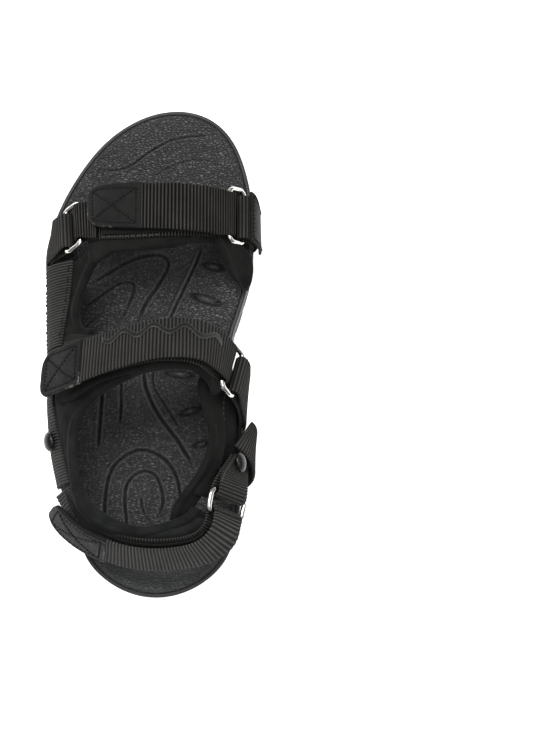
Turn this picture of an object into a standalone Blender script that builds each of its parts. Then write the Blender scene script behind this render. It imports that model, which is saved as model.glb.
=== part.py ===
"""Strappy sport sandal, left foot, child's size with a 208 mm sole.

Frame: +Z up, +Y towards the toe, +X towards the inner (medial) side of the foot, origin on the
ground under the middle of the sandal. Sizes are in millimetres and become metres in new_object.
"""

import math

import bmesh
import bpy
from mathutils import Vector

MM = 0.001
GAP = 0.3

# Sole
SOLE_HALF_LENGTH = 104.0
SOLE_STEPS = 52
RIM_WIDTH = 1.7
FOOTBED_DEPTH = 6.0
OUTSOLE_THICKNESS = 5.6
TREAD_DEPTH = 2.2
TREAD_GROOVE = 3.2
TREAD_PITCH = 12.4
TOE_SPRING_START = 45.0
TOE_SPRING_RISE = 6.0
HEEL_SPRING_START = -85.0
HEEL_SPRING_RISE = 1.8
FOOTBED_RAILS = (0.1, 0.25, 0.4, 0.5, 0.6, 0.75, 0.9)
QUARTERS = (0.25, 0.5, 0.75)

# Straps
WEBBING = 20.0
WEBBING_THICKNESS = 1.4
WIRE = 2.2
BAR_HEIGHT = WEBBING_THICKNESS + GAP + WIRE / 2
FOLD_RADIUS = BAR_HEIGHT - WEBBING_THICKNESS / 2
RING_SPAN = 9.0
RING_LENGTH = 24.4
RING_CORNER = 2.8
PINCH = 0.8
SPREADING_LENGTH = 9.0
PATCH_THICKNESS = 0.9
FLAP_LOW = 2 * BAR_HEIGHT - WEBBING_THICKNESS
TAB_THICKNESS = 1.8
TAB_CORNER = 6.0
LINING_THICKNESS = 2.7
HEEL_PAD_THICKNESS = 4.0
PLY = WEBBING_THICKNESS / 2 + GAP / 2
RIVET_HEAD = 4.1
RIVET_DOME = 2.3
RIVET_SHANK = 1.3
RIVET_WASHER = 3.1
RIVET_SEAT = 0.75

# Sole outline: distance along the foot, then the outer (lateral) and inner (medial) edge
SOLE_OUTLINE = [
    (-104.0, 3.2, 3.2),
    (-97.5, -16.5, 23.0),
    (-87.5, -25.8, 32.2),
    (-70.0, -30.8, 37.2),
    (-50.0, -35.2, 37.4),
    (-30.0, -38.2, 36.2),
    (-10.0, -39.8, 34.4),
    (5.0, -41.1, 34.0),
    (20.0, -43.2, 38.3),
    (34.0, -45.1, 42.0),
    (45.0, -44.9, 42.9),
    (60.0, -40.6, 42.6),
    (75.0, -33.0, 40.4),
    (90.0, -21.3, 34.9),
    (100.0, -6.8, 25.4),
    (104.0, 10.6, 10.6),
]
RIM_HEIGHTS = [
    (-104.0, 29.0),
    (-60.0, 28.0),
    (-20.0, 26.0),
    (20.0, 23.0),
    (50.0, 21.5),
    (80.0, 22.5),
    (104.0, 26.5),
]
DISH_DEPTHS = [(-104.0, 3.6), (-70.0, 4.2), (-20.0, 2.2), (40.0, 1.3), (104.0, 1.6)]

# Strap routes: front and rear edge of the underside of the webbing, from one end to the other
FOREFOOT_ARCH = [
    ((-28.2, 59.5, 35.5), (-26.4, 41.7, 44.5)),
    ((-20.5, 60.1, 43.5), (-19.5, 41.7, 51.0)),
    ((-11.5, 60.5, 50.0), (-11.0, 40.9, 54.8)),
    ((0.0, 60.9, 54.3), (0.0, 41.1, 57.2)),
    ((11.0, 61.9, 55.0), (11.0, 41.9, 56.6)),
    ((20.0, 62.9, 52.0), (20.0, 42.9, 52.8)),
    ((26.2, 63.8, 47.2), (26.2, 43.8, 47.4)),
    ((30.9, 64.5, 42.2), (30.9, 44.5, 41.8)),
]
INSTEP_ARCH = [
    ((-33.2, -2.1, 54.0), (-33.9, -20.9, 60.0)),
    ((-27.2, -2.1, 60.5), (-27.5, -20.9, 67.2)),
    ((-18.0, -1.1, 65.5), (-18.5, -19.1, 73.6)),
    ((-6.0, 1.2, 68.8), (-6.0, -16.5, 77.8)),
    ((7.0, 3.3, 69.6), (7.0, -14.4, 78.8)),
    ((19.0, 3.0, 66.5), (19.0, -14.7, 75.6)),
    ((26.8, 0.3, 61.5), (24.8, -17.4, 70.2)),
    ((32.2, -3.4, 54.6), (28.2, -20.6, 64.2)),
]
HEEL_BAND = [
    ((-29.8, -61.8, 62.0), (-36.2, -63.5, 44.0)),
    ((-25.8, -69.3, 62.7), (-30.6, -73.3, 44.4)),
    ((-18.8, -76.2, 63.9), (-22.3, -81.6, 45.0)),
    ((-9.8, -80.9, 64.6), (-11.3, -87.3, 45.6)),
    ((0.5, -83.0, 65.0), (1.0, -89.7, 46.2)),
    ((10.8, -82.8, 64.8), (13.0, -89.3, 46.0)),
    ((18.6, -81.0, 63.8), (24.4, -86.8, 45.8)),
    ((22.8, -77.4, 62.8), (32.2, -82.0, 45.8)),
    ((23.8, -71.6, 61.5), (35.2, -74.2, 45.4)),
]

# Outer side wall: four control points, x and z, of the curve from sole to top edge at each y
LATERAL_WALL = [
    (37.2, ((-41.8, 17.0), (-46.6, 26.0), (-42.5, 35.0), (-30.2, 42.5))),
    (20.0, ((-40.0, 17.0), (-46.0, 27.0), (-42.5, 39.0), (-31.0, 46.5))),
    (0.0, ((-38.0, 18.0), (-44.0, 30.0), (-42.5, 44.0), (-33.4, 52.5))),
    (-24.0, ((-35.4, 19.0), (-43.0, 30.0), (-42.6, 47.0), (-34.4, 58.6))),
    (-45.0, ((-32.6, 20.0), (-41.0, 30.0), (-41.5, 44.0), (-32.3, 58.0))),
    (-62.0, ((-28.6, 21.0), (-36.8, 32.0), (-38.0, 47.0), (-29.2, 61.5))),
]
# Inner side lining: the same, as full points, since its top edge sweeps back
MEDIAL_LINING_WALL = [
    ((29.3, -12.0, 24.5), (36.0, -12.0, 30.0), (37.5, -11.0, 40.0), (30.5, -11.0, 49.0)),
    ((30.0, -28.0, 25.0), (37.5, -28.0, 31.0), (39.0, -27.0, 46.0), (25.5, -27.0, 57.5)),
    ((31.0, -42.0, 25.5), (38.0, -42.0, 32.0), (38.5, -42.0, 47.0), (26.5, -41.0, 55.5)),
    ((31.6, -55.0, 26.0), (37.0, -56.0, 33.0), (36.5, -56.0, 49.0), (24.0, -54.5, 57.5)),
    ((31.2, -66.0, 26.5), (36.0, -67.0, 34.0), (34.0, -67.5, 50.0), (20.0, -65.5, 61.0)),
]


# ---------------------------------------------------------------- curves


def hermite(a, b, slope_a, slope_b, span, f):
    """Cubic between two values with given slopes, f from 0 to 1."""
    return (
        a * (2 * f**3 - 3 * f**2 + 1)
        + slope_a * (span * (f**3 - 2 * f**2 + f))
        + b * (3 * f**2 - 2 * f**3)
        + slope_b * (span * (f**3 - f**2))
    )


def smooth_through(knots, values, at):
    """Smooth curve through values (numbers or vectors) at rising knots; straight beyond them."""
    last = len(knots) - 1

    def slope(i):
        low, high = max(i - 1, 0), min(i + 1, last)
        return (values[high] - values[low]) / (knots[high] - knots[low])

    if at <= knots[0]:
        return values[0] + slope(0) * (at - knots[0])
    if at >= knots[-1]:
        return values[-1] + slope(last) * (at - knots[-1])
    i = next(k for k in range(last) if at <= knots[k + 1])
    span = knots[i + 1] - knots[i]
    return hermite(values[i], values[i + 1], slope(i), slope(i + 1), span, (at - knots[i]) / span)


def bezier(points, t):
    """Point of a cubic curve with four control points; straight beyond its ends."""
    a, b, c, d = points
    if t < 0:
        return a + (b - a) * (3 * t)
    if t > 1:
        return d + (d - c) * (3 * (t - 1))
    s = 1 - t
    return a * s**3 + b * (3 * s * s * t) + c * (3 * s * t * t) + d * t**3


def table(pairs, at):
    """Value of a two-column list at a place between its rows."""
    return smooth_through([p[0] for p in pairs], [p[1] for p in pairs], at)


def ease(f):
    """0 to 1 with level ends."""
    f = min(max(f, 0.0), 1.0)
    return f * f * (3 - 2 * f)


def spread(low, high, count):
    return [low + (high - low) * i / (count - 1) for i in range(count)]


# ---------------------------------------------------------------- meshes and materials


def material(name, colour, roughness, metallic=0.0):
    made = bpy.data.materials.new(name)
    made.use_nodes = True
    shader = made.node_tree.nodes["Principled BSDF"]
    shader.inputs["Base Color"].default_value = (*colour, 1.0)
    shader.inputs["Roughness"].default_value = roughness
    shader.inputs["Metallic"].default_value = metallic
    return made


def new_object(name, points, faces, finish, origin=None, sharp=40.0):
    """Closed mesh from points in millimetres, its object's origin where given."""
    origin = origin or Vector()
    mesh = bpy.data.meshes.new(name)
    mesh.from_pydata([tuple((p - origin) * MM) for p in points], [], faces)
    grown = bmesh.new()
    grown.from_mesh(mesh)
    bmesh.ops.remove_doubles(grown, verts=grown.verts, dist=1e-6)
    bmesh.ops.dissolve_degenerate(grown, edges=grown.edges, dist=1e-7)
    bmesh.ops.recalc_face_normals(grown, faces=grown.faces)
    grown.to_mesh(mesh)
    grown.free()
    mesh.shade_smooth()
    mesh.set_sharp_from_angle(angle=math.radians(sharp))
    mesh.materials.append(finish)
    made = bpy.data.objects.new(name, mesh)
    made.location = origin * MM
    bpy.context.collection.objects.link(made)
    return made


def bridge(loops, name, finish, origin=None, closed=False):
    """Solid through closed loops of equal length, capped at both ends unless it closes on itself."""
    size = len(loops[0])
    points = [p for loop in loops for p in loop]
    faces = []
    for k in range(len(loops) if closed else len(loops) - 1):
        here, there = k * size, (k + 1) % len(loops) * size
        for j in range(size):
            e = (j + 1) % size
            faces.append((here + j, here + e, there + e, there + j))
    if not closed:
        half = size // 2
        for base in (0, (len(loops) - 1) * size):
            for j in range(half - 1):
                faces.append((base + j, base + j + 1, base + size - 2 - j, base + size - 1 - j))
    return new_object(name, points, faces, finish, origin)


def strip(name, place, path, thickness, across, finish, origin=None, columns=3):
    """Flat strip swept along path, a list of (along, height) points on a surface.

    place(along, across, height) gives a point; across(along) gives the strip's two edges.
    """
    loops = []
    for k, (along, height) in enumerate(path):
        before, after = path[max(k - 1, 0)], path[min(k + 1, len(path) - 1)]
        run = Vector((after[0] - before[0], after[1] - before[1])).normalized()
        rise = Vector((-run.y, run.x)) * (thickness / 2)
        low, high = across(along)
        columns_at = spread(low, high, columns)
        under = [place(along - rise.x, w, height - rise.y) for w in columns_at]
        over = [place(along + rise.x, w, height + rise.y) for w in reversed(columns_at)]
        loops.append(under + over)
    return bridge(loops, name, finish, origin)


def layer(low, high, start, end, count):
    """Path of a strip that keeps between two heights, and its thickness."""
    return [(a, (low + high) / 2) for a in spread(start, end, count)], high - low


def sleeve(name, path, radius, sides, finish):
    """Endless round wire along points that lie in one plane."""
    count = len(path)
    loops = []
    normal = (path[1] - path[0]).cross(path[count // 3] - path[0]).normalized()
    for k, centre in enumerate(path):
        run = (path[(k + 1) % count] - path[k - 1]).normalized()
        side = normal.cross(run).normalized()
        loops.append(
            [
                centre
                + side * (radius * math.cos(2 * math.pi * j / sides))
                + normal * (radius * math.sin(2 * math.pi * j / sides))
                for j in range(sides)
            ]
        )
    return bridge(loops, name, finish, closed=True)


def turned(name, profile, centre, axis, sides, finish):
    """Solid of revolution: profile is (radius, height) from bottom to top along axis."""
    turn = axis.to_track_quat("Z", "Y").to_matrix()
    loops = []
    for radius, height in profile:
        ring = []
        for j in range(sides):
            angle = 2 * math.pi * j / sides
            spoke = Vector((radius * math.cos(angle), radius * math.sin(angle), height))
            ring.append(centre + turn @ spoke)
        loops.append(ring)
    return bridge(loops, name, finish)


def cut(body, cutter):
    """Takes the cutter's shape out of the body, as a modifier."""
    step = body.modifiers.new("cut", "BOOLEAN")
    step.operation = "DIFFERENCE"
    step.object = cutter
    step.solver = "EXACT"


def hidden(made):
    """Marks a cutter as no part of the sandal."""
    made.hide_render = True
    made.display_type = "WIRE"
    return made


# ---------------------------------------------------------------- surfaces the straps lie on


class Arch:
    """Strap route given by its front and rear edge; along is millimetres from the first end."""

    def __init__(self, stations, up):
        self.front = [Vector(s[0]) for s in stations]
        self.rear = [Vector(s[1]) for s in stations]
        self.up = Vector(up)
        middles = [(f + r) / 2 for f, r in zip(self.front, self.rear)]
        self.knots = [0.0]
        for a, b in zip(middles, middles[1:]):
            self.knots.append(self.knots[-1] + (b - a).length)
        self.length = self.knots[-1]

    def frame(self, along):
        """Front edge point, then unit vectors across, along and outwards."""
        held = min(max(along, 0.0), self.length)
        front = smooth_through(self.knots, self.front, held)
        rear = smooth_through(self.knots, self.rear, held)
        across = (rear - front).normalized()
        low, high = max(held - 0.5, 0.0), min(held + 0.5, self.length)
        run = self.middle(high) - self.middle(low)
        run = (run - across * run.dot(across)).normalized()
        out = across.cross(run).normalized()
        if out.dot(self.up) < 0:
            out = -out
        return front + run * (along - held), across, run, out

    def middle(self, along):
        front = smooth_through(self.knots, self.front, along)
        rear = smooth_through(self.knots, self.rear, along)
        return (front + rear) / 2

    def place(self, along, across, height):
        front, side, _, out = self.frame(along)
        return front + side * across + out * height


class HeelArch(Arch):
    """Band round the heel, whose outward direction turns with it."""

    def frame(self, along):
        front, across, run, out = super().frame(along)
        outward = front - Vector((0.0, -55.0, front.z))
        if out.dot(outward) < 0:
            out = -out
        return front, across, run, out


class Wall:
    """Side wall: a cubic curve from sole to top edge at each station along the foot."""

    def __init__(self, stations, outward):
        self.stations = [[Vector(p) for p in s] for s in stations]
        self.outward = Vector(outward)
        self.knots = [0.0]
        for a, b in zip(self.stations, self.stations[1:]):
            self.knots.append(self.knots[-1] + (b[2] - a[2]).length)
        self.length = self.knots[-1]

    def point(self, along, rise):
        corners = [smooth_through(self.knots, [s[k] for s in self.stations], along) for k in range(4)]
        return bezier(corners, rise)

    def place(self, along, rise, height):
        """along in millimetres, rise from 0 at the sole to 1 at the top edge."""
        here = self.point(along, rise)
        run = self.point(along + 0.4, rise) - self.point(along - 0.4, rise)
        climb = self.point(along, rise + 0.01) - self.point(along, rise - 0.01)
        out = run.cross(climb).normalized()
        if out.dot(self.outward) < 0:
            out = -out
        return here + out * height

    def at_y(self, y):
        """Distance along the wall whose foot point has this y."""
        low, high = 0.0, self.length
        falling = self.point(0.0, 0.5).y > self.point(self.length, 0.5).y
        for _ in range(30):
            middle = (low + high) / 2
            if (self.point(middle, 0.5).y > y) == falling:
                low = middle
            else:
                high = middle
        return (low + high) / 2


class Fall:
    """Ruled side panel between two cubic edges; along is millimetres down from its top."""

    STEPS = 24

    def __init__(self, front, rear, outward):
        self.edges = [[Vector(p) for p in front], [Vector(p) for p in rear]]
        self.outward = Vector(outward)
        samples = [self.middle(t) for t in spread(0.0, 1.0, self.STEPS + 1)]
        self.knots = [0.0]
        for a, b in zip(samples, samples[1:]):
            self.knots.append(self.knots[-1] + (b - a).length)
        self.length = self.knots[-1]

    def middle(self, t):
        return (bezier(self.edges[0], t) + bezier(self.edges[1], t)) / 2

    def share(self, along):
        """Curve parameter at a distance from the top."""
        last = self.STEPS - 1
        k = next((i for i in range(self.STEPS) if self.knots[i + 1] >= along), last)
        k = 0 if along <= 0 else k
        return (k + (along - self.knots[k]) / (self.knots[k + 1] - self.knots[k])) / self.STEPS

    def place(self, along, across, height):
        t = self.share(along)
        front, rear = bezier(self.edges[0], t), bezier(self.edges[1], t)
        side = (rear - front).normalized()
        run = self.middle(t + 0.01) - self.middle(t - 0.01)
        run = (run - side * run.dot(side)).normalized()
        out = side.cross(run).normalized()
        if out.dot(self.outward) < 0:
            out = -out
        return front + side * across + out * height


def anchor_fall(seat, feet, leans, outward):
    """Panel of a doubled webbing from a ring's far bar (along 0) down to its feet."""
    reach = seat.run * (RING_SPAN * 0.8)
    edges = []
    for foot, lean, sign in zip(feet, leans, (-0.5, 0.5)):
        bar = seat.far + seat.side * (WEBBING * sign)
        edges.append((bar, bar + reach, Vector(foot) + Vector(lean), Vector(foot)))
    return Fall(edges[0], edges[1], outward)


def ply_height(along):
    """Half the distance between the middles of the two plies of a ring anchor."""
    return PLY + (FOLD_RADIUS - PLY) * (1 - ease(along / SPREADING_LENGTH))


def foot_point(x, y):
    """Where a webbing end stands on the floor of the midsole tray."""
    return (x, y, rim_height(y) - FOOTBED_DEPTH + GAP)


class RingSeat:
    """Where a ring sits: its near bar inside a strap's fold, its far bar further along run."""

    def __init__(self, arch, at_end):
        along = arch.length if at_end else 0.0
        _, side, run, out = arch.frame(along)
        self.side = side
        self.run = run if at_end else -run
        self.out = out
        self.near = arch.place(along, WEBBING / 2, BAR_HEIGHT)
        self.far = self.near + self.run * RING_SPAN


# ---------------------------------------------------------------- webbing pieces


def half_turn(along, height, direction, steps=7):
    """Fold round a bar at (along, height): from the lower to the upper ply, bulging in direction."""
    return [
        (
            along + direction * FOLD_RADIUS * math.cos(a),
            height + FOLD_RADIUS * math.sin(a),
        )
        for a in spread(-math.pi / 2, math.pi / 2, steps)
    ]


def pinched(distance):
    """Edges of the webbing, drawn in a little where it passes through a ring."""
    inset = PINCH * (1 - ease(abs(distance) / SPREADING_LENGTH))
    return inset, WEBBING - inset


def looped_base(name, arch, finish, start_loop):
    """Webbing over the foot, folded round its ring bar at the far end and, if asked, the near end."""
    low = WEBBING_THICKNESS / 2
    path = []
    if start_loop:
        for a in spread(10.0, 1.5, 6):
            sink = ease((a - 1.0) / 7.0)
            path.append((a, (2 * BAR_HEIGHT - low) * (1 - sink) + (3 * low + GAP) * sink))
        path += list(reversed(half_turn(0.0, BAR_HEIGHT, -1)))
        path += [(a, low) for a in spread(2.0, arch.length - 2.0, 22)]
    else:
        path += [(a, low) for a in spread(0.0, arch.length - 2.0, 24)]
    path += half_turn(arch.length, BAR_HEIGHT, 1)

    def edges(along):
        near = along if start_loop else arch.length
        return pinched(min(max(near, 0.0), max(arch.length - along, 0.0)))

    return strip(name, arch.place, path, WEBBING_THICKNESS, edges, finish)


def ring(name, seat, finish):
    """Wire ring: a rounded rectangle, its long bars across the webbing."""
    centre = (seat.near + seat.far) / 2
    half_long = RING_LENGTH / 2 - RING_CORNER
    half_short = RING_SPAN / 2 - RING_CORNER
    path = []
    for quarter, (long_sign, short_sign) in enumerate(((1, 1), (-1, 1), (-1, -1), (1, -1))):
        start = quarter * math.pi / 2
        for a in spread(start, start + math.pi / 2, 6):
            path.append(
                centre
                + seat.side * (long_sign * half_long + RING_CORNER * math.cos(a))
                + seat.run * (short_sign * half_short + RING_CORNER * math.sin(a))
            )
    return sleeve(name, path, WIRE / 2, 8, finish)


def anchor_loop(name, fall, finish, outer_length, inner_length):
    """Webbing folded round a ring's far bar, two plies running down the panel."""
    outer = [(a, ply_height(a)) for a in spread(outer_length, 0.8, 13)]
    fold = [
        (-FOLD_RADIUS * math.cos(a), FOLD_RADIUS * math.sin(a))
        for a in spread(math.pi / 2, -math.pi / 2, 7)
    ]
    inner = [(a, -ply_height(a)) for a in spread(0.8, inner_length, 13)]
    edges = lambda along: pinched(max(along, 0.0))
    return strip(name, fall.place, outer + fold + inner, WEBBING_THICKNESS, edges, finish)


def panel(name, fall, outside, thickness, start, end, across, finish):
    """Flat piece on the outer or the inner side of a ring anchor."""
    sign = 1 if outside else -1
    depth = WEBBING_THICKNESS / 2 + GAP + thickness / 2
    path = [(a, sign * (ply_height(a) + depth)) for a in spread(start, end, 9)]
    return strip(name, fall.place, path, thickness, across, finish)


def slot(name, place, path, thickness, edges, finish):
    """Cutter a little larger than the webbing end that stands in it."""
    return hidden(strip(name, place, path, thickness, edges, finish))


def flap(prefix, arch, tab, skew, lift, patch, badge, finishes):
    """Closure flap beyond the fold: webbing, end tab and hook patch, hinged at the ring.

    tab is where the end tab runs, from its free end to the webbing; skew is how far the free end
    sits from straight; lift is how far it stands off; patch is how far the hook patch runs.
    """
    hinge = arch.place(arch.length, WEBBING / 2, FLAP_LOW + WEBBING_THICKNESS)
    free, joint = tab
    span = arch.length - free

    def shift(along):
        return skew * max(0.0, arch.length - 8.0 - along) / (span - 8.0)

    def rise(along):
        return lift * ease((joint + 6.0 - along) / (joint + 6.0 - free))

    def webbing_edges(along):
        low, high = pinched(arch.length - along)
        return low + shift(along), high + shift(along)

    def tab_edges(along):
        off = max(0.0, free + TAB_CORNER - along)
        inset = TAB_CORNER - math.sqrt(max(TAB_CORNER**2 - off**2, 0.0))
        return shift(along) - 0.4 + inset, shift(along) + WEBBING + 0.4 - inset

    def patch_edges(along):
        return shift(along) + 1.5, shift(along) + WEBBING - 1.5

    middle = FLAP_LOW + WEBBING_THICKNESS / 2
    made = []
    path = [(a, middle + rise(a)) for a in spread(arch.length - GAP, joint + GAP, 20)]
    made.append(
        strip(prefix + "_closure_webbing", arch.place, path, WEBBING_THICKNESS, webbing_edges,
              finishes["webbing"], hinge)
    )
    stops = [free + TAB_CORNER * s for s in (0.0, 0.08, 0.25, 0.5, 0.75, 1.0)]
    stops += spread(free + TAB_CORNER + 2.0, joint, 7)
    path = [(a, FLAP_LOW + TAB_THICKNESS / 2 + rise(a)) for a in stops]
    made.append(
        strip(prefix + "_closure_tab", arch.place, path, TAB_THICKNESS, tab_edges,
              finishes["leather"], hinge)
    )
    depth = FLAP_LOW - GAP / 2 - PATCH_THICKNESS / 2
    path = [(a, depth + rise(a)) for a in spread(patch[0], patch[1], 10)]
    made.append(
        strip(prefix + "_hook_patch", arch.place, path, PATCH_THICKNESS, patch_edges,
              finishes["hook"], hinge)
    )
    if badge:
        made.append(wave_badge(prefix + "_badge", arch, badge, finishes["badge"], hinge))
    return made


def wave_badge(name, arch, ends, finish, hinge):
    """Raised plain wave along the flap."""
    bottom = FLAP_LOW + WEBBING_THICKNESS + GAP / 2
    path, thickness = layer(bottom, bottom + 0.6, ends[0], ends[1], 33)

    def edges(along):
        centre = 7.2 + 2.0 * math.sin(2 * math.pi * (along - ends[0]) / 11.0)
        return centre - 1.5, centre + 1.5

    return strip(name, arch.place, path, thickness, edges, finish, hinge, columns=2)


def loop_patch(name, arch, start, end, finish):
    low = WEBBING_THICKNESS + GAP
    path, thickness = layer(low, low + PATCH_THICKNESS, start, end, 14)
    return strip(name, arch.place, path, thickness, lambda a: (1.5, WEBBING - 1.5), finish)


def rivet(name, centre, axis, grip, finish):
    """Domed rivet: head outside, shank through the layers, washer inside."""
    seat = RIVET_SEAT
    dome = [
        (RIVET_HEAD * math.cos(a) + 0.02, seat + 0.5 + RIVET_DOME * math.sin(a))
        for a in spread(0.0, math.pi / 2, 5)
    ]
    inside = -grip - GAP
    profile = [
        (0.02, inside - 0.8),
        (RIVET_WASHER, inside - 0.8),
        (RIVET_WASHER, inside),
        (RIVET_SHANK, inside),
        (RIVET_SHANK, seat),
        (RIVET_HEAD, seat),
    ]
    return turned(name, profile + dome, centre, axis, 20, finish)


def rivet_hole(name, centre, axis, finish):
    """Cutter for the hole that a rivet shank passes through."""
    radius = RIVET_SHANK + GAP
    return hidden(turned(name, [(radius, -9.0), (radius, 6.0)], centre, axis, 16, finish))


# ---------------------------------------------------------------- sole


def edge_angle(y):
    return math.acos(max(-1.0, min(1.0, -y / SOLE_HALF_LENGTH)))


def outline_point(angle, column):
    knots = [edge_angle(row[0]) for row in SOLE_OUTLINE]
    x = smooth_through(knots, [row[column] for row in SOLE_OUTLINE], angle)
    return Vector((x, -SOLE_HALF_LENGTH * math.cos(angle), 0.0))


def sole_edges(inset):
    """Outer and inner edge of the sole, heel to toe, moved inwards by inset."""
    angles = spread(0.0, math.pi, SOLE_STEPS + 1)
    sides = [[outline_point(a, column) for a in angles] for column in (1, 2)]
    moved = []
    for points, inward in zip(sides, (1, -1)):
        other = sides[1] if inward == 1 else sides[0]
        chain = [other[1]] + points + [other[-2]]
        row = []
        for k, here in enumerate(points):
            run = chain[k + 2] - chain[k]
            row.append(here + Vector((run.y, -run.x, 0.0)).normalized() * (inset * inward))
        moved.append(row)
    return moved


def ground(y):
    """Height of the tread's underside: the toe and the back of the heel curl up."""
    toe = max(0.0, (y - TOE_SPRING_START) / (SOLE_HALF_LENGTH - TOE_SPRING_START))
    heel = max(0.0, (HEEL_SPRING_START - y) / (SOLE_HALF_LENGTH + HEEL_SPRING_START))
    return TOE_SPRING_RISE * toe**2 + HEEL_SPRING_RISE * heel**2


def rim_height(y):
    return table(RIM_HEIGHTS, y)


def rail(edge, height):
    return [Vector((p.x, p.y, height(p))) for p in edge]


def between(edges, share, height):
    """Rail part of the way from the outer to the inner edge."""
    return [
        Vector((*(a + (b - a) * share).xy, height(a + (b - a) * share))) for a, b in zip(*edges)
    ]


def sole_body(name, rails, finish):
    """Closed body from rails that run heel to toe, round its section, meeting at both tips."""
    count, steps = len(rails), len(rails[0])
    points = [p for r in rails for p in r]
    faces = []
    for k in range(count):
        here, there = k * steps, (k + 1) % count * steps
        for i in range(steps - 1):
            corners = []
            for index in (here + i, there + i, there + i + 1, here + i + 1):
                if all((points[index] - points[c]).length > 1e-4 for c in corners):
                    corners.append(index)
            if len(corners) > 2:
                faces.append(tuple(corners))
    return new_object(name, points, faces, finish)


def outsole(finish):
    """Rubber outsole: plate with a tread of bars cut across its underside."""
    edges = sole_edges(0.6)
    low = lambda p: ground(p.y)
    high = lambda p: ground(p.y) + OUTSOLE_THICKNESS
    rails = [rail(edges[0], low), rail(edges[0], high)]
    rails += [between(edges, s, high) for s in QUARTERS]
    rails += [rail(edges[1], high), rail(edges[1], low)]
    rails += [between(edges, s, low) for s in reversed(QUARTERS)]
    body = sole_body("outsole", rails, finish)
    cut(body, tread_grooves(finish))
    return body


def tread_grooves(finish):
    """One cutter of all the grooves: chevrons across the sole, joined by a groove along it."""
    points, faces = [], []

    def bar(a, b, width):
        run = (b - a).normalized()
        side = Vector((-run.y, run.x, 0.0)) * (width / 2)
        base = len(points)
        for end in (a, b):
            for across in (-side, side):
                for height in (-4.0, ground(end.y) + TREAD_DEPTH):
                    points.append(Vector((end.x + across.x, end.y + across.y, height)))
        for quad in ((0, 1, 3, 2), (4, 6, 7, 5), (0, 4, 5, 1), (2, 3, 7, 6), (0, 2, 6, 4), (1, 5, 7, 3)):
            faces.append(tuple(base + q for q in quad))

    rows = int(2 * SOLE_HALF_LENGTH / TREAD_PITCH)
    for k in range(rows + 1):
        y = -SOLE_HALF_LENGTH + (k + 0.5) * TREAD_PITCH
        slant = 5.0
        bar(Vector((-52.0, y - slant, 0.0)), Vector((-6.0, y, 0.0)), TREAD_GROOVE)
        bar(Vector((10.0, y, 0.0)), Vector((52.0, y - slant, 0.0)), TREAD_GROOVE)
    return hidden(new_object("tread_groove_cutter", points, faces, finish))


def midsole(finish, slots):
    """Foam midsole: a tray whose rim stands round the footbed."""
    outer, inner = sole_edges(0.0), sole_edges(RIM_WIDTH)
    foot = sole_edges(1.2)
    base = lambda p: ground(p.y) + OUTSOLE_THICKNESS + GAP
    waist = lambda p: (base(p) + rim_height(p.y)) / 2
    top = lambda p: rim_height(p.y)
    floor = lambda p: rim_height(p.y) - FOOTBED_DEPTH
    left = [rail(foot[0], base), rail(outer[0], waist), rail(outer[0], top)]
    left += [rail(inner[0], top), rail(inner[0], floor)]
    right = [rail(inner[1], floor), rail(inner[1], top), rail(outer[1], top)]
    right += [rail(outer[1], waist), rail(foot[1], base)]
    rails = left + [between(inner, s, floor) for s in QUARTERS] + right
    rails += [between(foot, s, base) for s in reversed(QUARTERS)]
    body = sole_body("midsole", rails, finish)
    for slot in slots:
        cut(body, slot)
    return body


def footbed_height(point, margin):
    """Top of the footbed: dished in the middle, raised under the arch of the foot."""
    y = point.y
    dish = table(DISH_DEPTHS, y) * ease(margin / 17.0)
    arch = 2.6 * math.exp(-(((y + 18.0) / 26.0) ** 2)) * ease((point.x - 6.0) / 24.0)
    return rim_height(y) + 0.5 - dish + arch


def footbed(finish, slots):
    """Moulded footbed lying in the midsole, with a notch for each webbing end."""
    inset = RIM_WIDTH + GAP
    edge = sole_edges(inset)
    shoulder = sole_edges(inset + 1.4)
    dish_edge = sole_edges(inset + 4.0)
    low = lambda p: rim_height(p.y) - FOOTBED_DEPTH + GAP
    lip = lambda p: rim_height(p.y) - 0.3
    border = outline_samples()

    def top(p):
        margin = min((p.xy - q).length for q in border)
        return footbed_height(p, max(margin - inset, 0.0))

    rails = [rail(edge[0], low), rail(edge[0], lip), rail(shoulder[0], top), rail(dish_edge[0], top)]
    rails += [between(dish_edge, s, top) for s in FOOTBED_RAILS]
    rails += [rail(dish_edge[1], top), rail(shoulder[1], top), rail(edge[1], lip), rail(edge[1], low)]
    rails += [between(edge, s, low) for s in reversed(QUARTERS)]
    body = sole_body("footbed", rails, finish)
    for slot in slots:
        cut(body, slot)
    return body


def outline_samples():
    return [p.xy for side in sole_edges(0.0) for p in side]


# ---------------------------------------------------------------- upper


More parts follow.
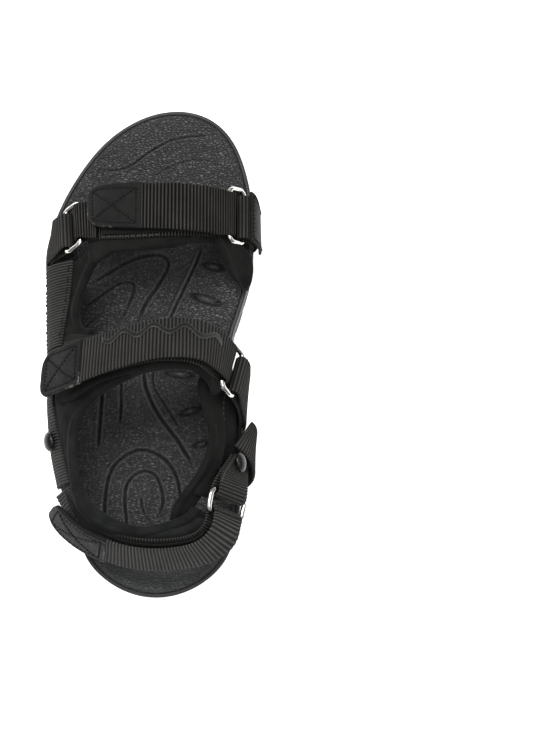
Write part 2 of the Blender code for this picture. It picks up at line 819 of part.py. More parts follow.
def forefoot_group(arch, seats, finishes):
    webbing, lining = finishes["webbing"], finishes["lining"]
    looped_base("forefoot_base_webbing", arch, webbing, True)
    loop_patch("forefoot_loop_patch", arch, 13.0, 54.0, finishes["hook"])
    flap("forefoot", arch, (8.0, 30.0), -4.5, 0.0, (13.0, 33.5), None, finishes)

    def lining_edges(along):
        return -1.5, 24.0 + 9.0 * (1 - ease(along / 24.0))

    path, thickness = layer(-GAP - LINING_THICKNESS, -GAP, 1.0, arch.length - 0.5, 22)
    strip("forefoot_lining", arch.place, path, thickness, lining_edges, lining)
    ring("forefoot_medial_ring", seats["medial"], finishes["steel"])
    ring("forefoot_lateral_ring", seats["lateral"], finishes["steel"])

    inner = anchor_fall(
        seats["medial"],
        (foot_point(39.0, 63.2), foot_point(39.7, 43.4)),
        ((5.6, 0.0, 9.5), (5.9, 0.0, 9.5)),
        (1, 0, 0.3),
    )
    anchor_loop("forefoot_medial_anchor", inner, webbing, inner.length, inner.length)
    panel("forefoot_medial_overlay", inner, True, 1.2, 3.0, inner.length - 9.5,
          lambda a: (-3.0, 23.5), finishes["leather"])
    panel("forefoot_medial_lining", inner, False, LINING_THICKNESS, 1.0, inner.length - 8.5,
          lambda a: (-2.5, 22.5 + 0.75 * a), lining)
    outer = anchor_fall(
        seats["lateral"],
        (foot_point(-38.2, 57.4), foot_point(-41.8, 38.8)),
        ((-4.0, 0.0, 9.5), (-4.8, 0.0, 9.5)),
        (-1, 0, 0.3),
    )
    anchor_loop("forefoot_lateral_anchor", outer, webbing, outer.length, outer.length)
    panel("forefoot_lateral_lining", outer, False, LINING_THICKNESS, 1.0, outer.length - 8.5,
          lambda a: (-5.0, 19.5), lining)
    return [anchor_slot("forefoot_medial_slot", inner, webbing),
            anchor_slot("forefoot_lateral_slot", outer, webbing)]


def anchor_slot(name, fall, finish):
    """Slot for the two plies of a ring anchor in the footbed and the midsole rim."""
    path = [(a, 0.0) for a in spread(fall.length - 11.0, fall.length + 2 * GAP, 8)]
    width = 4 * PLY + 2 * GAP
    return slot(name, fall.place, path, width, lambda a: (-2 * GAP, WEBBING + 2 * GAP), finish)


def instep_group(arch, seat, finishes):
    webbing, lining = finishes["webbing"], finishes["lining"]
    looped_base("instep_base_webbing", arch, webbing, False)
    loop_patch("instep_loop_patch", arch, 4.0, 60.0, finishes["hook"])
    flap("instep", arch, (-7.0, 14.5), 6.0, 0.0, (-3.0, 18.0), (24.0, 68.0), finishes)

    def lining_edges(along):
        spreading = 1 - ease(along / 22.0)
        return -1.5 - 4.0 * spreading, 24.5 + 5.5 * spreading

    path, thickness = layer(-GAP - LINING_THICKNESS, -GAP, 0.8, arch.length - 0.5, 26)
    strip("instep_lining", arch.place, path, thickness, lining_edges, lining)
    ring("instep_ring", seat, finishes["steel"])
    fall = anchor_fall(
        seat,
        (foot_point(31.6, -17.0), foot_point(33.0, -37.0)),
        ((9.5, 0.0, 13.0), (9.5, 0.0, 13.0)),
        (1, 0, 0.3),
    )
    anchor_loop("instep_medial_anchor", fall, webbing, fall.length, fall.length)
    return [anchor_slot("instep_medial_slot", fall, webbing)]


def heel_group(arch, seat, finishes):
    webbing = finishes["webbing"]
    looped_base("heel_base_webbing", arch, webbing, False)
    loop_patch("heel_loop_patch", arch, 8.0, 70.0, finishes["hook"])
    flap("heel", arch, (5.0, 28.0), 0.0, 2.5, (9.0, 30.0), None, finishes)
    path, thickness = layer(-GAP - HEEL_PAD_THICKNESS, -GAP, 0.8, arch.length - 4.0, 26)
    strip("heel_pad", arch.place, path, thickness, lambda a: (-2.0, 21.5), finishes["lining"])
    ring("heel_ring", seat, finishes["steel"])


def medial_group(wall, seat, finishes):
    """Inner side behind the instep: lining, webbing to the heel ring and webbing down to the sole."""
    webbing = finishes["webbing"]
    path, thickness = layer(-LINING_THICKNESS, 0.0, 0.5, wall.length - 0.5, 22)
    inner = strip("medial_lining", wall.place, path, thickness, lambda a: (0.2, 1.0),
                  finishes["lining"], columns=7)
    back = anchor_fall(
        seat,
        ((35.3, -47.5, 51.5), (39.8, -49.0, 32.5)),
        ((-1.5, -4.0, 4.0), (-0.5, -4.0, 4.5)),
        (1, 0, 0.3),
    )
    outer = anchor_loop("heel_ring_anchor", back, webbing, back.length, back.length)
    down = Fall(
        ((42.7, -32.5, 40.5), (47.0, -35.0, 33.0), (43.5, -41.0, 27.5), foot_point(33.8, -42.0)),
        ((35.5, -44.5, 52.5), (45.5, -50.0, 46.5), (47.5, -59.0, 31.0), foot_point(34.2, -60.0)),
        (1, 0, 0.3),
    )
    path, thickness = layer(-PLY, WEBBING_THICKNESS - PLY, 0.0, down.length, 16)
    edges = lambda a: (0.0, 18.0)
    strip("medial_down_webbing", down.place, path, thickness, edges, webbing)
    centre = back.place(back.length - 5.0, 5.5, PLY + WEBBING_THICKNESS / 2)
    axis = centre - back.place(back.length - 5.0, 5.5, 0.0)
    riveted("medial", centre, axis.normalized(), 8.5, (inner, outer), finishes)
    path = [(a, 0.0) for a in spread(down.length - 11.0, down.length + 2 * GAP, 8)]
    return [slot("medial_down_slot", down.place, path, WEBBING_THICKNESS + 2 * GAP,
                 lambda a: (-2 * GAP, 18.0 + 2 * GAP), webbing)]


def riveted(side, centre, axis, grip, layers, finishes):
    rivet(side + "_rivet", centre, axis, grip, finishes["rivet"])
    hole = rivet_hole(side + "_rivet_hole", centre, axis, finishes["rivet"])
    for piece in layers:
        cut(piece, hole)


def lateral_group(wall, finishes):
    """Outer side: lining from forefoot to heel, webbing along it and down to the sole."""
    webbing = finishes["webbing"]
    front, rear = wall.at_y(34.8), wall.at_y(-60.6)
    strap_front, strap_rear = wall.at_y(-3.6), wall.at_y(-22.6)

    def lining_edges(along):
        under = ease((along - strap_front + 6.0) / 5.0) * ease((strap_rear + 6.0 - along) / 5.0)
        return 0.27, 1.03 - 0.14 * under

    path, thickness = layer(-GAP - LINING_THICKNESS, -GAP, front, rear, 34)
    inner = strip("lateral_lining", wall.place, path, thickness, lining_edges,
                  finishes["lining"], columns=6)
    path, thickness = layer(0.0, WEBBING_THICKNESS, front, strap_front - 0.6, 16)
    strip("lateral_side_webbing", wall.place, path, thickness, lambda a: (0.42, 0.97), webbing,
          columns=5)

    def rear_edges(along):
        climb = 0.13 * ease((along - strap_rear) / (rear - strap_rear))
        return 0.39 + climb, 0.86 + climb

    path, thickness = layer(0.0, WEBBING_THICKNESS, strap_rear + 0.6, rear, 20)
    outer = strip("lateral_rear_webbing", wall.place, path, thickness, rear_edges, webbing,
                  columns=5)

    slots = upright_webbing("instep_lateral_anchor", wall, strap_front, strap_rear, 1.0, webbing)
    down_front, down_rear = wall.at_y(-41.5), wall.at_y(-59.5)
    slots += upright_webbing("lateral_down_webbing", wall, down_front, down_rear, 0.38, webbing)
    at = wall.at_y(-42.0)
    centre = wall.place(at, 0.8, WEBBING_THICKNESS)
    axis = (centre - wall.place(at, 0.8, 0.0)).normalized()
    riveted("lateral", centre, axis, WEBBING_THICKNESS + GAP + LINING_THICKNESS,
            (inner, outer), finishes)
    return slots


def upright_webbing(name, wall, front, rear, top, finish):
    """Webbing that climbs a side wall out of a slot in the sole; returns the slot's cutter."""

    def upright(rise, across, height):
        return wall.place(front + across, rise, height)

    width = rear - front
    path, thickness = layer(0.0, WEBBING_THICKNESS, 0.06, top, 14)
    strip(name, upright, path, thickness, lambda a: (0.0, width), finish)
    path = [(a, WEBBING_THICKNESS / 2) for a in spread(0.02, 0.36, 8)]
    return [slot(name + "_slot", upright, path, WEBBING_THICKNESS + 2 * GAP,
                 lambda a: (-2 * GAP, width + 2 * GAP), finish)]


# ---------------------------------------------------------------- assembly


def clear_scene():
    for thing in list(bpy.data.objects):
        bpy.data.objects.remove(thing, do_unlink=True)


def main():
    clear_scene()
    finishes = {
        "webbing": material("webbing", (0.030, 0.029, 0.027), 0.85),
        "leather": material("tab_synthetic_leather", (0.024, 0.024, 0.023), 0.6),
        "lining": material("lining_fabric", (0.012, 0.012, 0.011), 0.95),
        "hook": material("hook_and_loop", (0.008, 0.008, 0.008), 0.95),
        "steel": material("polished_steel", (0.78, 0.76, 0.72), 0.18, 1.0),
        "rivet": material("black_rivet", (0.03, 0.03, 0.03), 0.3, 0.8),
        "badge": material("badge_rubber", (0.016, 0.016, 0.016), 0.35),
    }
    forefoot = Arch(FOREFOOT_ARCH, (0, 0, 1))
    instep = Arch(INSTEP_ARCH, (0, 0, 1))
    heel = HeelArch(HEEL_BAND, (0, -1, 0))
    outer_wall = Wall([[(x, y, z) for x, z in four] for y, four in LATERAL_WALL], (-1, 0, 0.3))
    inner_wall = Wall(MEDIAL_LINING_WALL, (1, 0, 0.3))
    seats = {"medial": RingSeat(forefoot, True), "lateral": RingSeat(forefoot, False)}

    slots = forefoot_group(forefoot, seats, finishes)
    slots += instep_group(instep, RingSeat(instep, True), finishes)
    heel_seat = RingSeat(heel, True)
    heel_group(heel, heel_seat, finishes)
    slots += medial_group(inner_wall, heel_seat, finishes)
    slots += lateral_group(outer_wall, finishes)

    outsole(material("outsole_rubber", (0.022, 0.022, 0.023), 0.7))
    midsole(material("midsole_foam", (0.045, 0.045, 0.045), 0.75), slots)
    footbed(material("footbed_foam", (0.048, 0.049, 0.048), 0.7), slots)


main()
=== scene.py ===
"""Looks of the strappy sport sandal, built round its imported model.

Frame: +Z up, +Y towards the toe, +X towards the inner side of the foot. Lengths are in millimetres
until new_mesh turns them into metres.
"""

import math

import bmesh
import bpy
import numpy as np
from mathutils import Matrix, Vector


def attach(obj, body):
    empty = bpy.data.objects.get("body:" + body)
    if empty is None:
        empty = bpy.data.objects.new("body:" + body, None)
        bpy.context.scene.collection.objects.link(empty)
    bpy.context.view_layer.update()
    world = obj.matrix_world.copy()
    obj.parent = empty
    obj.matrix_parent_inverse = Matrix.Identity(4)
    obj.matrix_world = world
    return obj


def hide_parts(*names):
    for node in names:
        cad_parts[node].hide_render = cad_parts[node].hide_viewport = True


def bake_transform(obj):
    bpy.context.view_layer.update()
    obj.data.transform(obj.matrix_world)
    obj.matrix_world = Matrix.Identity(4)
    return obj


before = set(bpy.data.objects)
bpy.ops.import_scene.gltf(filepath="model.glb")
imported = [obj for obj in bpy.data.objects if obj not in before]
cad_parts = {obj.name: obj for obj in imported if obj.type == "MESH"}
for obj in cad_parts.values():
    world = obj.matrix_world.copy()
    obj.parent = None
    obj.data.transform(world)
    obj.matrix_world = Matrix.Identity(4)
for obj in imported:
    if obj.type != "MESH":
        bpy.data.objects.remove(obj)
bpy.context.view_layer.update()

MM = 0.001
GAP = 0.3
INWARD = (1, 0, 0.3)
OUTWARD = (-1, 0, 0.3)
FLOOR_REACH = 4.0
FLOOR_HEIGHT = -0.0004

# Sole
HALF_LENGTH = 104.0
RIM_WIDTH = 1.7
FOOTBED_DEPTH = 6.0
FOOTBED_PLAY = 0.06
SHOULDER = 1.4
OUTSOLE_THICKNESS = 5.6
TREAD_DEPTH = 2.2
TREAD_GROOVE = 3.2
TREAD_PITCH = 12.4
TREAD_SLANT = 5.0
HEEL_TAPER = 4.0
TAPER_START = -62.0
TAPER_LENGTH = 42.0
TOE_SPRING = 6.0
TOE_SPRING_START = 45.0
HEEL_SPRING = 1.8
HEEL_SPRING_START = 85.0
DISH_SLOPE = 17.0
ARCH_RISE = 2.6
ARCH_PLACE = -18.0
ARCH_REACH = 26.0

# Straps
WEBBING = 20.0
WEBBING_THICKNESS = 1.4
WIRE = 2.2
BAR_HEIGHT = WEBBING_THICKNESS + GAP + WIRE / 2
FOLD_RADIUS = BAR_HEIGHT - WEBBING_THICKNESS / 2
RING_SPAN = 9.0
RING_LENGTH = 22.4
RING_CORNER = 2.8
PINCH = 0.8
SPREADING = 9.0
PATCH_THICKNESS = 0.9
TAPE_INSET = 1.5
FLAP_LOW = 2 * BAR_HEIGHT - WEBBING_THICKNESS
BEND = 14.0
TAB_THICKNESS = 1.8
TAB_CORNER = 6.0
TAB_OVERHANG = 0.4
HEM = 2.4
COVER = 1.2
LINING = 2.7
HEEL_PAD = 4.0
PLY = WEBBING_THICKNESS / 2 + GAP / 2
RIB_PITCH = 1.27
RIB_DEPTH = 0.42
RIB_SAMPLES = 8
RIB_STEP = RIB_PITCH / RIB_SAMPLES
SCALLOP = 0.16
YARN_PITCH = 0.62
STITCH_PITCH = 1.75
STITCH_SHARE = 0.42
SKEW_START = 8.0
RIVET_HEAD = 4.1
RIVET_DOME = 2.35
RIVET_BACK = 3.1
RIVET_SHANK = 1.3

# Edges of the sole: y, then x of the outer and of the inner edge
SOLE_OUTLINE = [
    (-104, 3.2, 3.2), (-97.5, -16.5, 23), (-87.5, -25.8, 32.2), (-70, -30.8, 37.2), (-50, -35.2, 37.4),
    (-30, -38.2, 36.2), (-10, -39.8, 34.4), (5, -41.1, 34), (20, -43.2, 38.3), (34, -45.1, 42),
    (45, -44.9, 42.9), (60, -40.6, 42.6), (75, -33, 40.4), (90, -21.3, 34.9), (100, -6.8, 25.4),
    (104, 10.6, 10.6),
]
# Height of the rim, and depth of the dish in the footbed, by y
RIM_HEIGHTS = [
    (-104, 29), (-60, 28), (-20, 26), (20, 23), (50, 21.5), (80, 22.5), (104, 26.5),
]
DISH_DEPTHS = [
    (-104, 3.6), (-70, 4.2), (-20, 2.2), (40, 1.3), (104, 1.6),
]

# Strap routes: front and rear edge of the underside of the webbing
FOREFOOT_ARCH = [
    ((-28.2, 59.5, 35.5), (-26.4, 41.7, 44.5)), ((-20.5, 60.1, 43.5), (-19.5, 41.7, 51)),
    ((-11.5, 60.5, 50), (-11, 40.9, 54.8)), ((0, 60.9, 54.3), (0, 41.1, 57.2)),
    ((11, 61.9, 55), (11, 41.9, 56.6)), ((20, 62.9, 52), (20, 42.9, 52.8)),
    ((26.2, 63.8, 47.2), (26.2, 43.8, 47.4)), ((30.9, 64.5, 42.2), (30.9, 44.5, 41.8)),
]
INSTEP_ARCH = [
    ((-33.2, -2.1, 54), (-33.9, -20.9, 60)), ((-27.2, -2.1, 60.5), (-27.5, -20.9, 67.2)),
    ((-18, -1.1, 65.5), (-18.5, -19.1, 73.6)), ((-6, 1.2, 68.8), (-6, -16.5, 77.8)),
    ((7, 3.3, 69.6), (7, -14.4, 78.8)), ((19, 3, 66.5), (19, -14.7, 75.6)),
    ((26.8, 0.3, 61.5), (24.8, -17.4, 70.2)), ((32.2, -3.4, 54.6), (28.2, -20.6, 64.2)),
]
HEEL_BAND = [
    ((-29.8, -61.8, 62), (-36.2, -63.5, 44)), ((-25.8, -69.3, 62.7), (-30.6, -73.3, 44.4)),
    ((-18.8, -76.2, 63.9), (-22.3, -81.6, 45)), ((-9.8, -80.9, 64.6), (-11.3, -87.3, 45.6)),
    ((0.5, -83, 65), (1, -89.7, 46.2)), ((10.8, -82.8, 64.8), (13, -89.3, 46)),
    ((18.6, -81, 63.8), (24.4, -86.8, 45.8)), ((22.8, -77.4, 62.8), (32.2, -82, 45.8)),
    ((23.8, -71.6, 61.5), (35.2, -74.2, 45.4)),
]
# Side walls: cubic curves from the sole up. The outer wall's stations are y, then x and z
LATERAL_WALL = [
    (37.2, ((-41.8, 17), (-46.6, 26), (-42.5, 35), (-30.2, 42.5))),
    (20, ((-40, 17), (-46, 27), (-42.5, 39), (-31, 46.5))),
    (0, ((-38, 18), (-44, 30), (-42.5, 44), (-33.4, 52.5))),
    (-24, ((-35.4, 19), (-43, 30), (-42.6, 47), (-34.4, 58.6))),
    (-45, ((-32.6, 20), (-41, 30), (-41.5, 44), (-32.3, 58))),
    (-62, ((-28.6, 21), (-36.8, 32), (-38, 47), (-29.2, 61.5))),
]
MEDIAL_LINING_WALL = [
    ((29.3, -12, 24.5), (36, -12, 30), (37.5, -11, 40), (30.5, -11, 49)),
    ((30, -28, 25), (37.5, -28, 31), (39, -27, 46), (25.5, -27, 57.5)),
    ((31, -42, 25.5), (38, -42, 32), (38.5, -42, 47), (26.5, -41, 55.5)),
    ((31.6, -55, 26), (37, -56, 33), (36.5, -56, 49), (24, -54.5, 57.5)),
    ((31.2, -66, 26.5), (36, -67, 34), (34, -67.5, 50), (20, -65.5, 61)),
]

# Soft rolls round the openings: centre of the roll, then the way from it to the lining behind
FRONT_ROLL = [
    (20.4, 44, 51.2, 0, 6, -1.2), (15.1, 40.9, 53.6, 0, 6, -1.2), (8.2, 39.1, 55.2, 0, 6, -1.2),
    (0.8, 38.3, 55.8, 0, 6, -1.2), (-6.6, 37.9, 55, 0, 6, -1.2), (-12.9, 37.7, 53, -0.5, 6, -1.5),
    (-18.4, 36.7, 50.3, -1.5, 5, -1.5), (-22.3, 33.8, 48.2, -3.5, 3.5, -2), (-25, 29.5, 47, -4.5, 1.5, -3),
    (-27.2, 24.1, 46.8, -4.8, 0, -3.8), (-29, 18.4, 47.6, -4.8, 0, -4.5), (-30, 13.1, 49, -4.8, 0, -4.5),
    (-29.5, 8.1, 51, -5, 0, -4), (-27.2, 3.7, 53.8, -5, -1, -2), (-22.3, 0.9, 57.2, -3, -4, 1),
]
REAR_ROLL = [
    (28.4, -23, 61.5, 1, 6, -2.5), (26.2, -18.9, 65.2, 0, 6, -2.7), (22.2, -15.5, 70, 0, 6, -2.7),
    (15.5, -14.6, 74, 0, 6, -2.7), (7.3, -15.3, 76.3, 0, 6, -2.7), (-0.3, -16.6, 75.8, 0, 6, -2.7),
    (-8.1, -19.2, 72.6, -0.5, 6, -1), (-15.6, -22.4, 68.2, -2.5, 5.2, 1.5),
    (-21.5, -25.8, 64.3, -4.5, 4, 1), (-26.1, -30.2, 61.5, -5, 2, -0.5),
    (-28.7, -35.7, 60, -5.2, 0.5, -2.5), (-29.7, -42.1, 59, -5, 0, -4), (-29.6, -49.4, 59, -5, 0, -4),
    (-28.8, -56.9, 60, -4.8, 0, -4), (-27.6, -63.5, 61.5, -4.5, -1, -4), (-25.6, -69.3, 63, -4, -2.5, -4.5),
    (-21.6, -74.3, 64, -3, -4, -4.5), (-15.5, -78, 64.8, -1.5, -4.8, -4.5), (-8.7, -80, 65.3, -1, -5, -4.5),
    (-1.5, -80.7, 65.5, 0, -5, -4.5), (5.2, -79.8, 65.3, 1, -5, -4.5), (12.4, -77.6, 64.3, 2.5, -4.5, -4.5),
    (18, -74.6, 62.8, 4, -3, -4), (21, -70.5, 61.5, 5, -1, -4),
]
INNER_ROLL = [
    (22.5, -9.5, 65, 4, 2, -1), (24, -15.6, 61.5, 5, 0, -2), (22.6, -20.1, 60, 6, 0, -2.5),
    (23.4, -25.6, 58.5, 6, 0, -3), (25.2, -31.2, 57.5, 5.5, 0, -3.2), (26.7, -37.7, 56.8, 5, 0, -3.5),
    (26.7, -44.2, 56.5, 5, 0, -3.5), (25.1, -50.4, 57, 5.5, 0, -3.5), (22.4, -56.2, 58, 6, 0, -3.5),
    (18.8, -61.6, 59, 7, -0.5, -3.5), (15.3, -66.6, 59.8, 8, -1.5, -3.5), (12.7, -71.6, 60.6, 9, -2, -3),
    (12, -76.6, 60, 9, -1, -3), (13.2, -81, 58.5, 9, 0, -3),
]
TOE_SIDE_ROLL = [
    (27, 45, 46, 6, 3, -5), (28.5, 42.1, 45.6, 9.5, 2, -7.5), (30.1, 38.8, 44, 12, 1.5, -8.5),
    (31.7, 35.2, 41.2, 12.5, 2, -7.5), (33.7, 31.8, 37.6, 11, 1.5, -6), (36.2, 29.1, 33.5, 8, 0.5, -4),
    (39, 27.1, 28.5, 4.4, 0.3, -1.5), (41.2, 26.6, 24.3, 1.6, 0.6, 0),
]

# Moulded lines of the footbed: width and depth, then x, y of a smooth line
FOOTBED_LINES = [
    (1.1, 0.75, [(-27.1, 79.9), (-18.6, 79), (-10.9, 80.5), (-1.4, 87.1), (8, 91.9), (17.8, 93.5),
     (26.4, 93.8)]),
    (1, 0.65, [(-1.4, 75.5), (7.1, 80.7), (15.7, 83.6), (20, 83.7), (26.4, 83)]),
    (1.7, 0.7, [(-28.9, 27.4), (-20.5, 33.1), (-8.7, 39.9), (2.3, 42.1), (6.8, 38.8), (3.7, 30.9),
     (-3, 19.9), (-6.4, 10.7)]),
    (1.5, 0.6, [(-30.9, 17.7), (-21.7, 24.3), (-12.9, 30), (-7.8, 29.1), (-9.3, 21.7), (-13.8, 11.8)]),
    (1.3, 0.55, [(-28.4, 10), (-23.6, 14.9), (-19.9, 17.7)]),
    (1.3, 0.9, [(21.8, 47), (18.8, 39.2), (11.8, 23.4), (7, 12.5)]),
    (0.9, 0.5, [(19.4, 47), (16.4, 39.2), (9.4, 23.4), (5, 12.5)]),
    (1.6, 1, [(-3.3, -6), (-2, -15.8), (3.1, -26.9), (11.6, -38.4), (18.4, -49.4)]),
    (1.2, 0.7, [(1, -6), (1.3, -14.9), (7.3, -25.2), (12.8, -34.2)]),
    (1.5, 1, [(-20.2, -14.9), (-21.1, -29.5), (-21.7, -41.4)]),
    (1.3, 0.9, [(-12.8, -8.5), (-12.4, -22.2), (-12.9, -31.6)]),
    (1.5, 0.85, [(-17.6, -80.1), (-18.5, -63.3), (-15.4, -49.4), (-5.5, -42.2), (4.6, -44.8), (11.3, -54.1),
     (13.1, -67.6)]),
    (1.4, 0.8, [(-8.2, -80.5), (-10.4, -62.4), (-8.6, -54.9), (-2.8, -51), (2.6, -53.2), (5.6, -63.3),
     (3.4, -70.8)]),
    (1.2, 0.65, [(-3.6, -60.8), (-3.3, -65), (-1.8, -69.2), (1.7, -73.1)]),
]
# Leaf-shaped dimples: centre x, y, half length, half width, turn in degrees
FOOTBED_LEAVES = [
    (26, 37, 4.2, 1.5, -12), (23, 22.6, 6, 1.7, -19), (12, -9.9, 5.5, 1.5, -7), (16.4, -25.9, 4.2, 1.5, 15),
    (21.2, -39.9, 3, 1.3, 14),
]


# ---------------------------------------------------------------- curves


def smooth_at(knots, values, at):
    """Smooth curve through values (along their first axis) at rising knots; straight beyond them."""
    last = len(knots) - 1

    def slope(i):
        low, high = max(i - 1, 0), min(i + 1, last)
        return (values[high] - values[low]) / (knots[high] - knots[low])

    if at <= knots[0]:
        return values[0] + slope(0) * (at - knots[0])
    if at >= knots[-1]:
        return values[-1] + slope(last) * (at - knots[-1])
    i = min(int(np.searchsorted(knots, at, side="left")) - 1, last - 1)
    i = max(i, 0)
    span = knots[i + 1] - knots[i]
    f = (at - knots[i]) / span
    return (
        values[i] * (2 * f**3 - 3 * f**2 + 1)
        + slope(i) * (span * (f**3 - 2 * f**2 + f))
        + values[i + 1] * (3 * f**2 - 2 * f**3)
        + slope(i + 1) * (span * (f**3 - f**2))
    )


def table(pairs, at):
    """Smooth value of a two-column list at each of several places."""
    rows = np.array(pairs, float)
    fine = np.linspace(rows[0, 0], rows[-1, 0], 400)
    values = [smooth_at(rows[:, 0], rows[:, 1], a) for a in fine]
    return np.interp(at, fine, values)


def bezier(corners, t):
    """Points of a cubic curve at parameters t, straight beyond its ends."""
    a, b, c, d = corners
    t = np.asarray(t, float)[..., None]
    s = 1 - t
    inside = a * s**3 + b * (3 * s * s * t) + c * (3 * s * t * t) + d * t**3
    before = a + (b - a) * (3 * t)
    after = d + (d - c) * (3 * (t - 1))
    return np.where(t < 0, before, np.where(t > 1, after, inside))


def ease(f):
    f = np.clip(f, 0.0, 1.0)
    return f * f * (3 - 2 * f)


def unit(v):
    return v / np.maximum(np.linalg.norm(v, axis=-1, keepdims=True), 1e-12)


def travelled(points):
    """Distance along a line of points, from its first."""
    return np.concatenate([[0.0], np.cumsum(np.linalg.norm(np.diff(points, axis=0), axis=1))])


def resample(points, step):
    """Even points along a polyline, about a step apart."""
    points = np.asarray(points, float)
    lengths = travelled(points)
    at = np.linspace(0, lengths[-1], max(2, int(round(lengths[-1] / step)) + 1))
    return np.stack([np.interp(at, lengths, column) for column in points.T], axis=1)


def arc(centre, start, end, steps=26):
    """Round stretch of a fold in the (along, height) plane, between two angles."""
    a = np.linspace(start, end, steps)
    return (np.array(centre) + FOLD_RADIUS * np.stack([np.cos(a), np.sin(a)], axis=1)).tolist()


def level(height, start, end, count=60):
    """Path that keeps its height over the surface."""
    return [(a, height) for a in np.linspace(start, end, count)]


# ---------------------------------------------------------------- surfaces the straps lie on


def squared(side, run, outward):
    """Run turned square to side, and the way square to both that points outward."""
    run = unit(run - side * (run @ side))
    out = unit(np.cross(side, run))
    return run, -out if out @ outward < 0 else out


def ruled(front, side, out, across, height):
    return front + np.outer(across, side) + np.outer(np.broadcast_to(height, np.shape(across)), out)


class Arch:
    """Strap route given by its front and rear edge; along is millimetres from the first end."""

    def __init__(self, stations, centre=None):
        self.front, self.rear = np.array(stations, float).transpose(1, 0, 2)
        self.centre = centre
        self.knots = travelled((self.front + self.rear) / 2)
        self.length = self.knots[-1]
        self.outward = self.frame(self.length / 2)[3]

    def middle(self, along):
        held = min(max(along, 0.0), self.length)
        return smooth_at(self.knots, (self.front + self.rear) / 2, held)

    def frame(self, along):
        held = min(max(along, 0.0), self.length)
        front, rear = (smooth_at(self.knots, edge, held) for edge in (self.front, self.rear))
        side = unit(rear - front)
        outward = np.array([0, 0, 1.0]) if self.centre is None else (front - self.centre) * (1, 1, 0)
        run, out = squared(side, self.middle(held + 0.5) - self.middle(held - 0.5), outward)
        return front + run * (along - held), side, run, out

    def section(self, along, across, height):
        front, side, _, out = self.frame(along)
        return ruled(front, side, out, across, height)


class Wall:
    """Side wall: a cubic curve from sole to top edge at each station; across is 0 to 1 up it."""

    def __init__(self, stations, outward):
        self.stations = np.array(stations, float)
        self.outward = np.array(outward)
        self.knots = travelled(self.stations[:, 2])
        self.length = self.knots[-1]

    def points(self, along, rises):
        return bezier(smooth_at(self.knots, self.stations, along), rises)

    def section(self, along, across, height):
        rises = np.asarray(across, float)
        run = self.points(along + 0.4, rises) - self.points(along - 0.4, rises)
        climb = self.points(along, rises + 0.01) - self.points(along, rises - 0.01)
        out = unit(np.cross(run, climb))
        out *= np.where(out @ self.outward < 0, -1.0, 1.0)[:, None]
        return self.points(along, rises) + out * np.broadcast_to(height, rises.shape)[:, None]

    def at_y(self, y):
        """How far along the wall its middle reaches a place towards the heel."""
        low, high = 0.0, self.length
        for _ in range(30):
            middle = (low + high) / 2
            if self.points(middle, [0.5])[0][1] > y:
                low = middle
            else:
                high = middle
        return (low + high) / 2


class Upright:
    """A side wall with along and across swapped, for webbing that climbs it."""

    def __init__(self, wall, front):
        self.wall, self.front, self.outward = wall, front, wall.outward

    def section(self, rise, across, height):
        return np.array([self.wall.section(self.front + a, [rise], height)[0] for a in across])


class Fall:
    """Ruled side panel between two cubic edges; along is millimetres down from its top."""

    STEPS = 24

    def __init__(self, front, rear, outward):
        self.edges = np.array([front, rear], float)
        self.outward = np.array(outward)
        t = np.linspace(0, 1, self.STEPS + 1)
        self.knots = travelled((bezier(self.edges[0], t) + bezier(self.edges[1], t)) / 2)
        self.length = self.knots[-1]

    def section(self, along, across, height):
        k = min(int(np.searchsorted(self.knots[1:], along)), self.STEPS - 1)
        t = (k + (along - self.knots[k]) / (self.knots[k + 1] - self.knots[k])) / self.STEPS
        (front, rear), behind, ahead = (
            np.array([bezier(edge, [at])[0] for edge in self.edges]) for at in (t, t - 0.01, t + 0.01)
        )
        side = unit(rear - front)
        _, out = squared(side, ahead.mean(axis=0) - behind.mean(axis=0), self.outward)
        return ruled(front, side, out, across, height)


class Seat:
    """Where a ring sits at an end of a strap: its near bar in the fold, its far bar beyond."""

    def __init__(self, arch, at_end):
        along = arch.length if at_end else 0.0
        _, self.side, run, self.out = arch.frame(along)
        self.run = run if at_end else -run
        self.near = arch.section(along, [WEBBING / 2], BAR_HEIGHT)[0]
        self.far = self.near + self.run * RING_SPAN


def anchor_fall(seat, feet, leans, outward):
    """Side panel from a ring's far bar down to two feet, which it meets along their leans."""
    edges = []
    for foot, lean, sign in zip(feet, leans, (-0.5, 0.5)):
        bar = seat.far + seat.side * (WEBBING * sign)
        foot = np.array(foot)
        edges.append((bar, bar + seat.run * (RING_SPAN * 0.8), foot + np.array(lean), foot))
    return Fall(*edges, outward)


def ply_height(along):
    """Height of one ply of a folded strap: half the fold at its ring, then flat on the other ply."""
    return float(PLY + (FOLD_RADIUS - PLY) * (1 - ease(along / SPREADING)))


def foot_point(x, y):
    return (x, y, float(rim_height(y)) - FOOTBED_DEPTH + GAP)


# ---------------------------------------------------------------- sole outline


def edge_angle(y):
    return np.arccos(np.clip(-np.asarray(y) / HALF_LENGTH, -1.0, 1.0))


def sole_angles():
    """Rows from heel to toe, close together at the tips and about 0.6 mm apart between."""
    even = edge_angle(np.linspace(-HALF_LENGTH, HALF_LENGTH, 420))
    merged = np.sort(np.concatenate([even, np.linspace(0.0, math.pi, 181)]))
    kept = [merged[0]]
    for a in merged[1:]:
        if a - kept[-1] > 0.0035:
            kept.append(a)
    kept[-1] = math.pi
    return np.array(kept)


def sole_side(column):
    """Points of the outer (column 1) or inner (column 2) edge of the sole, heel to toe."""
    rows = np.array(SOLE_OUTLINE)
    knots, values = edge_angle(rows[:, 0]), rows[:, column]
    return np.array([[smooth_at(knots, values, a), -HALF_LENGTH * math.cos(a)] for a in sole_angles()])


SIDES = [sole_side(1), sole_side(2)]


